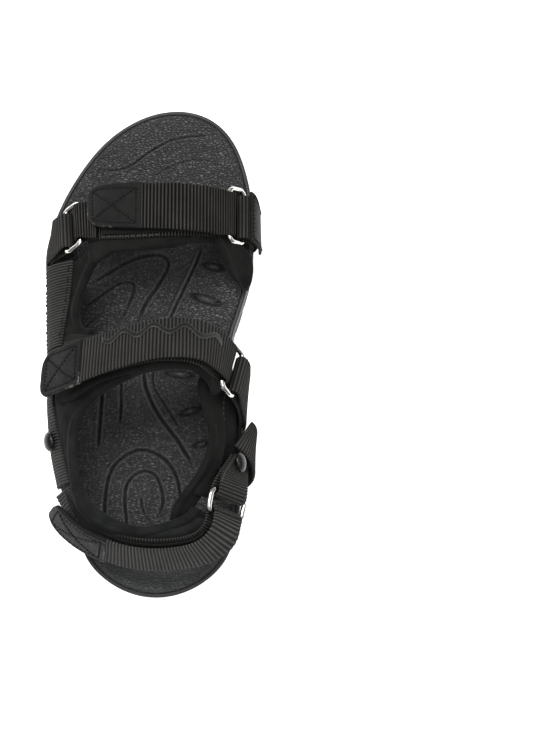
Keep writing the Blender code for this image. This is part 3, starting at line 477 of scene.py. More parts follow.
def sole_edges(inset, taper=0.0):
    """Outer and inner edge of the sole, heel to toe, moved inwards; taper adds to that at the heel."""
    moved = []
    inset = (inset + taper * ease((TAPER_START - SIDES[0][:, 1]) / TAPER_LENGTH))[:, None]
    for points, other, inward in ((*SIDES, 1), (*SIDES[::-1], -1)):
        chain = np.concatenate([[other[1]], points, [other[-2]]])
        run = chain[2:] - chain[:-2]
        moved.append(points + unit(np.stack([run[:, 1], -run[:, 0]], axis=1)) * (inset * inward))
    return moved


def rim_height(y):
    return table(RIM_HEIGHTS, y)


def ground(y):
    """Underside of the sole, rising at the toe and a little at the heel."""
    toe = np.maximum(0.0, (y - TOE_SPRING_START) / (HALF_LENGTH - TOE_SPRING_START))
    heel = np.maximum(0.0, (-HEEL_SPRING_START - y) / (HALF_LENGTH - HEEL_SPRING_START))
    return TOE_SPRING * toe**2 + HEEL_SPRING * heel**2


# ---------------------------------------------------------------- meshes


def new_mesh(name, points, faces, finish, uv=None, wear_and_carve_shading=None, tidy=False):
    """Object from points in millimetres, with its texture places kept on its points, and per-point values:
    real wear on strips, and on the footbed the carve depth that drives painted shade and highlight.
    """
    mesh = bpy.data.meshes.new(name)
    faces = [tuple(int(i) for i in f) for f in faces]
    mesh.from_pydata((np.asarray(points) * MM).tolist(), [], faces)
    if uv is not None:
        layer = mesh.uv_layers.new(name="strip")
        corner = np.zeros(len(mesh.loops), int)
        mesh.loops.foreach_get("vertex_index", corner)
        layer.data.foreach_set("uv", np.asarray(uv, np.float32)[corner].ravel())
    if wear_and_carve_shading is not None:
        made = mesh.attributes.new("wear_and_carve_shading", "FLOAT", "POINT")
        made.data.foreach_set("value", np.asarray(wear_and_carve_shading, np.float32))
    if tidy:
        grown = bmesh.new()
        grown.from_mesh(mesh)
        bmesh.ops.remove_doubles(grown, verts=grown.verts, dist=1e-6)
        bmesh.ops.dissolve_degenerate(grown, edges=grown.edges, dist=1e-7)
        bmesh.ops.recalc_face_normals(grown, faces=grown.faces)
        grown.to_mesh(mesh)
        grown.free()
    mesh.shade_smooth()
    mesh.materials.append(FINISH[finish])
    made = bpy.data.objects.new(name, mesh)
    bpy.context.scene.collection.objects.link(made)
    return made


def part(made, body="sandal", stands_for=()):
    """Says what a piece rides on and which nodes it stands for."""
    if body is not None:
        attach(made, body)
    if stands_for:
        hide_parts(*stands_for)
    return made


def quads(grid):
    return np.stack([grid[:-1, :-1], grid[:-1, 1:], grid[1:, 1:], grid[1:, :-1]], axis=-1).reshape(-1, 4)


def wrapped(rows, columns):
    """Numbers of a grid's points, with its first column again after its last."""
    index = np.arange(rows * columns).reshape(rows, columns)
    return np.concatenate([index, index[:, :1]], axis=1)


def closed_grid(top, bottom):
    """Points and faces of a body between two grids that share their side edges."""
    rows, columns, _ = top.shape
    upper = np.arange(rows * columns).reshape(rows, columns)
    lower = np.empty_like(upper)
    lower[:, 1:-1] = rows * columns + np.arange(rows * (columns - 2)).reshape(rows, columns - 2)
    lower[:, 0], lower[:, -1] = upper[:, 0], upper[:, -1]
    points = np.concatenate([top.reshape(-1, 3), bottom[:, 1:-1].reshape(-1, 3)])
    faces = quads(upper).tolist() + quads(lower)[:, ::-1].tolist()
    for row, turn in ((0, 1), (-1, -1)):
        for j in range(columns - 1):
            loop = [upper[row, j], lower[row, j], lower[row, j + 1], upper[row, j + 1]]
            loop = list(dict.fromkeys(int(i) for i in loop))
            faces.append(loop[::turn])
    return points, faces


def edge_columns(width, fine=(0.0, 0.12, 0.32, 0.62, 1.0), spacing=1.6):
    """Shares across a strip, closer together at its two edges."""
    inner = np.linspace(fine[-1], width - fine[-1], max(2, int(width / spacing)))[1:-1]
    columns = np.concatenate([fine, inner, width - np.array(fine[::-1])])
    return columns / width


class Ribbon:
    """Strip of webbing, foam or leather round a middle sheet of points (along, across)."""

    def __init__(self, mid, across, thickness, outward, ribs=0.0, round_edge=0.8, puff=None, reference=0.5):
        self.across = across
        normal = unit(np.cross(np.gradient(mid, axis=0), np.gradient(mid, axis=1)))
        k, j = int(len(mid) * reference), mid.shape[1] // 2
        self.turn = 1.0 if normal[k, j] @ outward > 0 else -1.0
        self.normal = normal * self.turn
        self.s = travelled(mid[:, j])
        steps = np.linalg.norm(np.diff(mid, axis=1), axis=2)
        self.w = np.concatenate([np.zeros((len(mid), 1)), np.cumsum(steps, axis=1)], axis=1)
        self.edge = np.minimum(self.w, self.w[:, -1:] - self.w)
        self.ribbed = bool(ribs)
        half = np.full_like(self.edge, thickness / 2)
        if ribs:
            phase = (np.arange(len(mid)) % RIB_SAMPLES) / RIB_SAMPLES
            crest = (np.sin(math.pi * phase) ** 1.2)[:, None]
            half = (half - ribs) + ribs * crest
            scallop = unit(mid[:, -1] - mid[:, 0]) * (SCALLOP * (crest - 0.6))
            mid = mid.copy()
            mid[:, 0] -= scallop
            mid[:, -1] += scallop
        if puff is not None:
            half = half + puff(self.s[:, None] + 0 * self.edge, self.edge, across)
        rounding = np.sqrt(1 - np.clip(1 - self.edge / round_edge, 0, 1) ** 2)
        offset = self.normal * (half * rounding)[..., None]
        self.top, self.bottom = mid + offset, mid - offset

    def mesh(self, name, finish, wear_width=0.0, worn=(0.0, 1.0, 0.0, 1.0)):
        """Its object; wear runs along the edges within the worn shares of its length and width."""
        points, faces = closed_grid(self.top, self.bottom)
        if self.turn > 0:
            faces = [f[::-1] for f in faces]

        def on_points(grid):
            """Values of a grid for the points of its top, then of its bottom."""
            return np.concatenate([side.reshape(-1, *grid.shape[2:]) for side in (grid, grid[:, 1:-1])])

        run = np.arange(len(self.s)) * RIB_STEP if self.ribbed else self.s
        uv = on_points(np.stack([np.broadcast_to(run[:, None], self.w.shape), self.w], axis=-1))
        wear_and_carve_shading = None
        if wear_width:
            ends = np.minimum(self.s, self.s[-1] - self.s)[:, None]
            s, w = self.s[:, None] / self.s[-1], self.w / self.w[:, -1:]
            inside = (s >= worn[0]) & (s <= worn[1]) & (w >= worn[2]) & (w <= worn[3])
            wear_and_carve_shading = on_points((1 - np.clip(np.minimum(self.edge, ends) / wear_width, 0, 1)) * inside)
        return new_mesh(name, points, faces, finish, uv, wear_and_carve_shading)

    def spot(self, s, across):
        """Point on the outer face of the strip, and the way out of it."""
        k = int(np.clip(np.searchsorted(self.s, s) - 1, 1, len(self.s) - 3))
        f = float(np.clip((s - self.s[k]) / (self.s[k + 1] - self.s[k]), 0, 1))
        row = self.across[k] * (1 - f) + self.across[k + 1] * f
        j = int(np.clip(np.searchsorted(row, across) - 1, 0, len(row) - 2))
        g = float(np.clip((across - row[j]) / (row[j + 1] - row[j]), 0, 1))
        low, high = self.top[k:k + 2, j] * (1 - g) + self.top[k:k + 2, j + 1] * g
        return low * (1 - f) + high * f, self.normal[k, min(max(j, 1), len(row) - 2)]


def laid(surface, path, edges, thickness, step=1.0, width=WEBBING, spacing=1.6, **how):
    """Strip on a surface, along a path of (along, height) and between the edges given at each along."""
    path = resample(path, RIB_STEP if "ribs" in how else step)
    shares = edge_columns(width, spacing=spacing)
    across = np.array([low + (high - low) * shares for low, high in (edges(a) for a, _ in path)])
    mid = np.array([surface.section(a, here, height) for (a, height), here in zip(path, across)])
    return Ribbon(mid, across, thickness, surface.outward, **how)


def wire_loop(name, path, up, finish, sides=20):
    """Round wire along an endless line that lies square to up."""
    path = np.array(path)
    run = unit(np.roll(path, -1, axis=0) - np.roll(path, 1, axis=0))
    side = unit(np.cross(up, run))
    lift = np.cross(run, side)
    angles = (2 * math.pi * np.arange(sides) / sides)[None, :, None]
    loops = path[:, None] + WIRE / 2 * (side[:, None] * np.cos(angles) + lift[:, None] * np.sin(angles))
    index = wrapped(len(path), sides)
    index = np.concatenate([index, index[:1]], axis=0)
    return new_mesh(name, loops.reshape(-1, 3), quads(index).tolist(), finish, tidy=True)


def turned(name, profile, centre, axis, sides, finish):
    """Solid of revolution: profile is (radius, height) from bottom to top along axis."""
    axis = unit(axis)
    side = unit(np.cross(axis, [0.3, 0.9, 0.1]))
    other = np.cross(axis, side)
    angles = (2 * math.pi * np.arange(sides) / sides)[:, None]
    profile = np.array(profile)[:, None]
    spokes = np.cos(angles) * side + np.sin(angles) * other
    loops = centre + profile[..., 1:] * axis + profile[..., :1] * spokes
    index = wrapped(len(profile), sides)
    faces = quads(index).tolist() + [index[0, :-1].tolist()[::-1], index[-1, :-1].tolist()]
    return new_mesh(name, loops.reshape(-1, 3), faces, finish, tidy=True)


def thread_template():
    """One stitch, lying along x: a short bowed thread."""
    rings, sides = 7, 6
    points = []
    for t in np.linspace(-1, 1, rings):
        radius = 0.36 * math.sqrt(max(1 - t**4, 0.02))
        bow = 0.22 * (1 - t * t) - 0.1
        for a in 2 * math.pi * np.arange(sides) / sides:
            points.append((t, radius * math.cos(a), bow + radius * 0.8 * math.sin(a)))
    index = wrapped(rings, sides)
    return np.array(points), quads(index).tolist() + [index[0, :-1].tolist(), index[-1, :-1].tolist()[::-1]]


THREAD_POINTS, THREAD_FACES = thread_template()


def stitched(name, host, lines, finish="thread", body="sandal", pitch=STITCH_PITCH):
    """Rows of stitches on a strip; each line is a list of (along, across) places."""
    points, faces = [], []
    shape = THREAD_POINTS * (pitch * STITCH_SHARE, 1.0, 1.0)
    for line in lines:
        dense = np.concatenate([np.linspace(a, b, 25) for a, b in zip(line, line[1:])])
        spots = np.array([host.spot(*at)[0] for at in dense])
        lengths = travelled(spots)
        count = max(1, int(round(lengths[-1] / pitch)))
        for at in (np.arange(count) + 0.5) * lengths[-1] / count:
            point, normal = host.spot(*(np.interp(at, lengths, column) for column in dense.T))
            before, after = (
                np.array([np.interp(at + d, lengths, column) for column in spots.T]) for d in (-0.4, 0.4)
            )
            run = unit(after - before + 1e-9)
            run = unit(run - normal * (run @ normal))
            first = len(points) * len(shape)
            points.append(point + shape @ np.array([run, np.cross(normal, run), normal]))
            faces += [[first + i for i in f] for f in THREAD_FACES]
    return part(new_mesh(name, np.concatenate(points), faces, finish), body)


# ---------------------------------------------------------------- materials


def toned(colour, low, high):
    """A darker and a lighter tone of a colour."""
    return tuple(c * low for c in colour), tuple(c * high for c in colour)


class Finish:
    """A material under construction: short ways to add and join its nodes."""

    def __init__(self, name, colour, roughness, **values):
        self.made = bpy.data.materials.new(name)
        self.made.use_nodes = True
        self.tree = self.made.node_tree
        self.shader = self.tree.nodes["Principled BSDF"]
        for key, value in {"Base_Color": (*colour, 1.0), "Roughness": roughness, **values}.items():
            self.shader.inputs[key.replace("_", " ")].default_value = value

    def done(self, colour, normal, roughness=None):
        """Joins the last nodes to the shader."""
        for key, value in (("Base Color", colour), ("Normal", normal), ("Roughness", roughness)):
            if value is not None:
                self.tree.links.new(value, self.shader.inputs[key])
        return self.made

    def add(self, kind, inputs=None, output=0, **settings):
        """Output of a new node; an input is a number, a colour or another node's output."""
        node = self.tree.nodes.new("ShaderNode" + kind)
        for key, value in settings.items():
            setattr(node, key, value)
        for key, value in (inputs or {}).items():
            if isinstance(value, bpy.types.NodeSocket):
                self.tree.links.new(value, node.inputs[key])
            else:
                node.inputs[key].default_value = value
        return node.outputs[output]

    def math(self, operation, *values):
        return self.add("Math", dict(enumerate(values)), operation=operation)

    def times(self, a, b):
        return self.math("MULTIPLY", a, b)

    def place(self):
        """The piece's own coordinates, in millimetres."""
        at = self.add("TexCoord", output="Object")
        return self.add("VectorMath", {0: at, "Scale": 1 / MM}, operation="SCALE")

    def stretched(self, at, scale):
        return self.add("VectorMath", {0: at, 1: scale}, operation="MULTIPLY")

    # Per-point value: real wear on strips; on the footbed, carve depth that drives painted shade and
    # highlight.
    def wear_and_carve_shading(self):
        return self.add("Attribute", output="Fac", attribute_name="wear_and_carve_shading")

    def noise(self, at, scale, detail=2.0, rough=0.5):
        return self.add("TexNoise", {"Vector": at, "Scale": scale, "Detail": detail, "Roughness": rough})

    def cloud(self, at, scale):
        """Large soft patches."""
        return self.ramp(self.noise(at, scale, 3.0), 0.3, 0.7)

    def cells(self, at, scale, feature="F1"):
        return self.add("TexVoronoi", {"Vector": at, "Scale": scale}, feature=feature)

    def ramp(self, value, low, high, out_low=0.0, out_high=1.0):
        return self.add("MapRange", {0: value, 1: low, 2: high, 3: out_low, 4: out_high})

    def mix(self, share, a, b):
        a, b = ((*c, 1.0) if isinstance(c, tuple) else c for c in (a, b))
        return self.add("Mix", {0: share, 6: a, 7: b}, 2, data_type="RGBA")

    def bump(self, height, depth, under=None):
        values = {"Height": height, "Distance": depth * MM, "Strength": 1.0}
        return self.add("Bump", values if under is None else {**values, "Normal": under})


def webbing_finish(name, light, dark, sharpness=0.45, gloss=0.1):
    """Rib crests with painted shade darkening the valleys between them; the sharper, the narrower the lit
    crests.
    """
    f = Finish(name, light, 0.8, Specular_IOR_Level=gloss, Sheen_Weight=gloss / 5, Sheen_Roughness=0.5)
    at = f.add("UVMap", uv_map="strip")
    u, v = (f.add("SeparateXYZ", {0: at}, axis) for axis in (0, 1))
    phase = f.math("FRACT", f.math("DIVIDE", u, RIB_PITCH))
    # Painted shade: the colour darkens from each rib crest down into the valleys beside it.
    painted_valley_shade = f.math("POWER", f.math("ABSOLUTE", f.math("MULTIPLY_ADD", phase, 2.0, -1.0)), sharpness)
    cloud = f.math("MULTIPLY_ADD", f.cloud(at, 0.09), 0.35, 0.8)
    fibre = f.math("MULTIPLY_ADD", f.ramp(f.noise(at, 2.6, 3.0, 0.7), 0.3, 0.75), 0.7, 0.6)
    shade = f.times(f.times(cloud, fibre), f.math("MULTIPLY_ADD", painted_valley_shade, -1.0, 1.0))
    along, across = (
        f.math("SINE", f.times(x, 2 * math.pi / yarn)) for x, yarn in ((u, RIB_PITCH / 2), (v, YARN_PITCH))
    )
    weave = f.bump(f.times(across, along), 0.035)
    return f.done(f.mix(f.ramp(shade, 0.0, 1.3), dark, light),
                  f.bump(f.noise(at, 3.4, 2.0, 0.6), 0.12, weave))


def leather_finish(name, colour, worn):
    f = Finish(name, colour, 0.6, Specular_IOR_Level=0.07)
    at = f.place()
    grain = f.ramp(f.cells(at, 1.6, "DISTANCE_TO_EDGE"), 0.0, 0.35)
    cloud = f.ramp(f.noise(at, 0.35, 4.0, 0.6), 0.35, 0.7)
    rubbed = f.times(f.ramp(f.wear_and_carve_shading(), 0.25, 0.9), f.ramp(f.noise(at, 0.5, 3.0, 0.7), 0.42, 0.62))
    return f.done(f.mix(rubbed, f.mix(cloud, *toned(colour, 0.72, 1.25)), worn),
                  f.bump(grain, 0.05, f.bump(cloud, 0.12)), f.ramp(cloud, 0.0, 1.0, 0.5, 0.66))


def lining_finish(name, colour, sheen):
    f = Finish(name, colour, 0.9, Specular_IOR_Level=0.1, Sheen_Weight=sheen, Sheen_Roughness=0.4)
    at = f.place()
    pile = f.noise(at, 1.9, 3.0, 0.65)
    cloud = f.cloud(at, 0.14)
    shade = f.mix(f.times(cloud, f.ramp(pile, 0.3, 0.7, 0.5, 1.0)), *toned(colour, 0.55, 1.5))
    return f.done(shade, f.bump(f.cells(at, 1.3), 0.08, f.bump(pile, 0.14)))


def footbed_finish():
    """Pebbled foam with painted shade in the creases between pebbles and along long wrinkles, painted shade
    in its carved lines and a painted highlight on their raised lips; paler towards the heel.
    """
    f = Finish("footbed_foam", (0.03, 0.031, 0.031), 0.5, Specular_IOR_Level=0.35)
    plain = f.place()
    at = f.stretched(plain, (0.6, 1.3, 1.0))
    swirl = f.add("TexNoise", {"Vector": at, "Scale": 0.55, "Detail": 2.0}, 1)
    swirl = f.add("VectorMath", {0: swirl, "Scale": 1.6}, operation="SCALE")
    bent = f.add("VectorMath", {0: at, 1: swirl}, operation="ADD")
    pebble = f.ramp(f.cells(bent, 0.95, "DISTANCE_TO_EDGE"), 0.0, 0.24)
    fine = f.noise(at, 2.2, 3.0, 0.6)
    cloud = f.ramp(f.cloud(at, 0.05), 0.0, 1.0, 0.8, 1.0)
    # Painted shade along long wrinkles, as darker streaks in the colour only.
    wrinkle_shade = f.ramp(f.noise(f.stretched(plain, (0.3, 0.8, 0.3)), 1.0, 3.0, 0.6), 0.38, 0.6)
    wrinkle_shade = f.ramp(wrinkle_shade, 0.0, 1.0, 0.68, 1.0)
    # Painted shade: darker in the creases between pebbles and along the wrinkles; the cloud is a random
    # tone.
    share = f.times(f.math("MULTIPLY_ADD", pebble, 0.8, 0.2), f.times(cloud, wrinkle_shade))
    shade = f.mix(share, (0.002, 0.002, 0.002), (0.054, 0.0548, 0.0546))
    # Paler towards the heel end.
    paler_towards_heel = f.ramp(f.add("SeparateXYZ", {"Vector": plain}, 1), -76.0, -92.0, 0.0, 0.4)
    shade = f.mix(paler_towards_heel, shade, (0.07, 0.0725, 0.074))
    # Painted shade: darker where the lines are carved deep.
    shade = f.mix(f.ramp(f.wear_and_carve_shading(), 0.12, 0.6), shade, (0.003, 0.003, 0.003))
    # Painted highlight: paler on the raised lips and tongues beside the lines.
    shade = f.mix(f.ramp(f.wear_and_carve_shading(), -0.1, -0.35), shade, (0.07, 0.071, 0.0705))
    return f.done(shade, f.bump(pebble, 0.34, f.bump(fine, 0.08)), f.ramp(fine, 0.3, 0.7, 0.48, 0.62))


def foam_finish(name, colour, roughness):
    f = Finish(name, colour, roughness, Specular_IOR_Level=0.25)
    at = f.place()
    skin = f.noise(at, 0.9, 4.0, 0.6)
    cloud = f.cloud(at, 0.06)
    return f.done(f.mix(cloud, *toned(colour, 0.8, 1.2)), f.bump(skin, 0.05),
                  f.ramp(skin, 0.3, 0.7, roughness - 0.07, roughness + 0.1))


def metal_finish():
    f = Finish("polished_steel", (0.7, 0.68, 0.65), 0.12, Metallic=1.0)
    scratch = f.ramp(f.noise(f.place(), 0.9, 5.0, 0.7), 0.45, 0.75)
    return f.done(f.mix(scratch, (0.6, 0.585, 0.555), (0.3, 0.29, 0.27)), f.bump(scratch, 0.01),
                  f.ramp(scratch, 0.0, 1.0, 0.09, 0.3))


def rivet_finish():
    f = Finish("black_rivet", (0.005, 0.005, 0.005), 0.24, Specular_IOR_Level=0.18)
    scuff = f.ramp(f.noise(f.place(), 0.8, 4.0, 0.7), 0.5, 0.75)
    return f.done(f.mix(scuff, (0.0045, 0.0045, 0.0045), (0.014, 0.014, 0.0138)), f.bump(scuff, 0.02),
                  f.ramp(scuff, 0.0, 1.0, 0.24, 0.5))


def pile_finish(name, colour):
    f = Finish(name, colour, 0.9, Specular_IOR_Level=0.1, Sheen_Weight=0.02, Sheen_Roughness=0.6)
    at = f.place()
    loops, fuzz = f.cells(at, 1.7), f.noise(at, 3.5, 3.0, 0.7)
    return f.done(f.mix(f.times(loops, fuzz), *toned(colour, 1, 3)), f.bump(loops, 0.3, f.bump(fuzz, 0.2)))


def thread_finish(name, colour):
    f = Finish(name, colour, 0.7, Specular_IOR_Level=0.1)
    ply = f.noise(f.place(), 4.0, 2.0)
    return f.done(f.mix(ply, *toned(colour, 0.6, 1.4)), f.bump(ply, 0.06))


def print_finish():
    f = Finish("badge_rubber", (0.012, 0.012, 0.012), 0.35, Specular_IOR_Level=0.2)
    crack = f.ramp(f.noise(f.place(), 0.8, 4.0, 0.7), 0.4, 0.7)
    rubbed = f.times(f.wear_and_carve_shading(), f.ramp(crack, 0.0, 1.0, 0.5, 1.0))
    return f.done(f.mix(rubbed, (0.006, 0.006, 0.006), (0.07, 0.068, 0.062)), f.bump(crack, 0.04),
                  f.ramp(crack, 0.0, 1.0, 0.28, 0.5))


FINISH = {
    "webbing": webbing_finish("woven_webbing", (0.070, 0.0675, 0.0625), (0.0008, 0.0008, 0.0008)),
    # Painted light: the toe copy of the webbing has narrower lit crests and darker painted valley shade.
    "toe_webbing": webbing_finish("woven_webbing_toe", (0.088, 0.085, 0.079), (0.0002, 0.0002, 0.0002),
                                  sharpness=0.33, gloss=0.02),
    # Painted light: the heel copy is a lighter, lit copy of the same webbing for the heel closure.
    "heel_webbing": webbing_finish("woven_webbing_heel", (0.115, 0.112, 0.105), (0.0012, 0.0012, 0.0012)),
    "leather": leather_finish("synthetic_leather", (0.0072, 0.0072, 0.0069), (0.13, 0.125, 0.115)),
    "overlay": leather_finish("overlay_leather", (0.009, 0.0088, 0.0083), (0.04, 0.038, 0.036)),
    "lining": lining_finish("lining_fabric", (0.0058, 0.0058, 0.0055), 0.03),
    "collar": lining_finish("collar_fabric", (0.0076, 0.0080, 0.0079), 0.04),
    "footbed": footbed_finish(),
    "midsole": foam_finish("midsole_foam", (0.017, 0.0175, 0.018), 0.5),
    "outsole": foam_finish("outsole_rubber", (0.014, 0.014, 0.0145), 0.6),
    "steel": metal_finish(),
    "rivet": rivet_finish(),
    "hook": pile_finish("hook_and_loop", (0.003, 0.003, 0.003)),
    "thread": thread_finish("thread", (0.003, 0.003, 0.003)),
    "pale_thread": thread_finish("light_thread", (0.032, 0.031, 0.029)),
    "badge": print_finish(),
}


# ---------------------------------------------------------------- sole


def nearest(points, line):
    """How far each point is from a line's nearest point, and which one that is."""
    gaps, picks = [], []
    for block in np.array_split(points, 60):
        away = np.linalg.norm(block[:, None] - line[None], axis=2)
        gaps.append(away.min(axis=1))
        picks.append(away.argmin(axis=1))
    return np.concatenate(gaps), np.concatenate(picks)


def lines_field(x, y):
    """How deep the moulded lines and dimples cut in at each place."""
    depth = np.zeros(x.size)
    flat = np.stack([x.ravel(), y.ravel()], axis=1)
    for width, deepest, knots in FOOTBED_LINES:
        along = travelled(knots)
        line = np.array([smooth_at(along, np.array(knots), a) for a in np.arange(0, along[-1], 0.5)])
        near = ((flat > line.min(axis=0) - 4) & (flat < line.max(axis=0) + 4)).all(axis=1)
        gap, pick = nearest(flat[near], line)
        share = pick / len(line)
        taper = np.clip(np.minimum(share, 1 - share) * 9, 0.15, 1)
        reach = 0.85 * width * (0.55 + 0.45 * taper)
        bowl = 1.35 * np.clip(1 - gap / (reach * 0.62), 0, 1)
        lip = 0.3 * np.exp(-((gap - reach * 0.9) / (reach * 0.42)) ** 2)
        depth[near] += deepest * taper * (bowl - lip)
    depth = depth.reshape(x.shape)
    for cx, cy, long, wide, turn in FOOTBED_LEAVES:
        a = math.radians(turn)
        u = (x - cx) * math.cos(a) + (y - cy) * math.sin(a)
        v = -(x - cx) * math.sin(a) + (y - cy) * math.cos(a)
        r = np.sqrt((u / long) ** 2 + (v / wide) ** 2)
        depth += 0.75 * np.exp(-(((r - 0.95) / 0.33) ** 2)) * (r < 2) - 0.35 * np.exp(-((r / 0.5) ** 2))
    return depth


def lifted(line, height):
    """Flat line given the height that belongs to each y."""
    return np.concatenate([line, height(line[:, 1])[:, None]], axis=1)


def footbed():
    """Moulded foam: dished, raised under the arch and carved, with soft shoulders by the rim."""
    inset = RIM_WIDTH + FOOTBED_PLAY
    edge, shoulder = sole_edges(inset), sole_edges(inset + SHOULDER)
    shares = np.linspace(0, 1, 190)[:, None]
    inner = shoulder[0][:, None] + (shoulder[1] - shoulder[0])[:, None] * shares
    x, y = inner[..., 0], inner[..., 1]
    carved = lines_field(x, y)
    margin = nearest(inner.reshape(-1, 2), np.concatenate(sole_edges(0.0))[::2])[0].reshape(x.shape)
    margin = np.maximum(margin - inset, 0.0)
    dish = table(DISH_DEPTHS, y) * ease(margin / DISH_SLOPE)
    arch = ARCH_RISE * np.exp(-(((y - ARCH_PLACE) / ARCH_REACH) ** 2)) * ease((x - 6.0) / 24.0)
    top = rim_height(y) + 0.5 - dish + arch - carved * ease(margin / 3.0)
    sides = [
        np.stack([
            lifted(outer, lambda y: rim_height(y) - FOOTBED_DEPTH + GAP),
            lifted(outer, lambda y: rim_height(y) - 0.3),
            lifted(outer * 0.7 + within * 0.3, lambda y: rim_height(y) + 0.12),
        ], axis=1)
        for outer, within in zip(edge, shoulder)
    ]
    points = np.concatenate([sides[0], np.dstack([inner, top]), sides[1][:, ::-1]], axis=1)
    grid = np.arange(points[..., 0].size).reshape(points.shape[:2])
    faces = [*quads(grid), *quads(grid[:, [-1, 0]])]
    # Carve depth is kept on the points to drive painted shade in the carved lines and a painted highlight
    # on their lips.
    wear_and_carve_shading = np.pad(np.clip(carved, -0.4, 1.2), ((0, 0), (3, 3))).ravel()
    made = new_mesh("footbed_moulded", points.reshape(-1, 3), faces, "footbed", wear_and_carve_shading=wear_and_carve_shading, tidy=True)
    part(made, stands_for=["footbed"])


def sole_body(name, profile, height, finish):
    """Closed body from rails, heel to toe, that go round its section.

    Each row of the profile, from the ground face to the top face, is an inset and the heel's extra
    inset, then what the height function needs. Both faces are crossed by rails of their own.
    """

    def rails(row, shares):
        inset, taper, *place = row
        outer, inner = sole_edges(inset, taper)
        return [lifted(outer + (inner - outer) * s, lambda y: height(y, *place)) for s in shares]

    across = np.linspace(0, 1, 14)[1:-1]
    grid = [line for row in profile for line in rails(row, [0])] + rails(profile[-1], across)
    grid += [line for row in profile[::-1] for line in rails(row, [1])] + rails(profile[0], across[::-1])
    grid = np.stack(grid, axis=1)
    return new_mesh(name, grid.reshape(-1, 3), quads(wrapped(*grid.shape[:2])).tolist(), finish, tidy=True)


def midsole():
    def height(y, share, rise):
        base = ground(y) + OUTSOLE_THICKNESS + GAP
        return base + (rim_height(y) - base) * share + rise

    profile = [(1.9, HEEL_TAPER, 0, 0), (1.2, HEEL_TAPER, 0, 0.5)]
    for s in (0.12, 0.3, 0.5, 0.75, 0.88):
        profile.append((1.1 * max(1 - s / 0.5, 0) ** 2, HEEL_TAPER * (1 - s), s, 0))
    rim = [(0, -0.7), (0.12, -0.25), (0.45, 0), (1.25, 0), (RIM_WIDTH - 0.05, -0.2), (RIM_WIDTH, -0.6),
           (RIM_WIDTH, -FOOTBED_DEPTH)]
    profile += [(inset, 0, 1, rise) for inset, rise in rim]
    part(sole_body("midsole_shell", profile, height, "midsole"), stands_for=["midsole"])


def outsole():
    """Rubber plate with slanting grooves cut across both halves of its tread."""
    profile = [(0.9, HEEL_TAPER, 0), (0.6, HEEL_TAPER, 0.4), (0.6, HEEL_TAPER, OUTSOLE_THICKNESS - 0.5),
               (0.95, HEEL_TAPER, OUTSOLE_THICKNESS)]
    body = sole_body("outsole_tread", profile, lambda y, rise: ground(y) + rise, "outsole")
    points, faces = [], []
    for k in range(int(2 * HALF_LENGTH / TREAD_PITCH) + 1):
        y = -HALF_LENGTH + (k + 0.5) * TREAD_PITCH
        for ends in (((-52.0, y - TREAD_SLANT), (-6.0, y)), ((10.0, y), (52.0, y - TREAD_SLANT))):
            run = unit(np.subtract(*ends[::-1]))
            side = np.array([-run[1], run[0]]) * TREAD_GROOVE / 2
            for q in ((0, 1, 3, 2), (4, 6, 7, 5), (0, 4, 5, 1), (2, 3, 7, 6), (0, 2, 6, 4), (1, 5, 7, 3)):
                faces.append([len(points) + i for i in q])
            points += [(*(end + across), height) for end in ends for across in (-side, side)
                       for height in (-4.0, float(ground(end[1])) + TREAD_DEPTH)]
    cutter = new_mesh("tread_cutter", points, faces, "outsole", tidy=True)
    step = body.modifiers.new("grooves", "BOOLEAN")
    step.operation, step.solver, step.object = "DIFFERENCE", "EXACT", cutter
    bpy.context.view_layer.update()
    mesh = bpy.data.meshes.new_from_object(body.evaluated_get(bpy.context.evaluated_depsgraph_get()))
    body.modifiers.clear()
    body.data = mesh
    mesh.set_sharp_from_angle(angle=math.radians(40))
    bpy.data.objects.remove(cutter)
    part(body, stands_for=["outsole"])


# ---------------------------------------------------------------- strap pieces


def fullness(s, edge, across):
    """Foam that swells between its edges."""
    return 0.35 * ease(edge / 4.0)


def padded(host, name, finish="lining", stands_for=()):
    part(host.mesh(name, finish), stands_for=stands_for)


def foam(name, surface, path, edges, width, stands_for=(), step=0.8, round_edge=1.35):
    """Lining strip."""
    host = laid(surface, path, edges, LINING, step, width, round_edge=round_edge, puff=fullness)
    padded(host, name, stands_for=stands_for)
    return host


def woven(name, node, surface, path, edges, finish="webbing", **how):
    """Ribbed webbing strip."""
    host = laid(surface, path, edges, WEBBING_THICKNESS, ribs=RIB_DEPTH, **how)
    part(host.mesh(name, finish), stands_for=[node])
    return host


def pinched(distance):
    """Edges of webbing that is gathered a little where it runs through a ring."""
    inset = PINCH * (1 - float(ease(abs(distance) / SPREADING)))
    return inset, WEBBING - inset


def looped_base(name, arch, start_loop, finish):
    """Webbing over the foot, folded round the ring at its end and, if asked, at its start."""
    low = WEBBING_THICKNESS / 2
    path = level(low, 1.0 if start_loop else 0.0, arch.length - 1.0)
    if start_loop:
        sink = [(a, float(ease((a - 1.0) / 7.0))) for a in np.linspace(10.0, 1.5, 14)]
        back = [(a, (2 * BAR_HEIGHT - low) * (1 - f) + (3 * low + GAP) * f) for a, f in sink]
        path = back + arc((0.0, BAR_HEIGHT), math.pi / 2, 1.5 * math.pi) + path
    path += arc((arch.length, BAR_HEIGHT), -math.pi / 2, math.pi / 2)

    def edges(along):
        near = along if start_loop else arch.length
        return pinched(min(max(near, 0.0), max(arch.length - along, 0.0)))

    return woven(name + "_woven", name, arch, path, edges, finish)


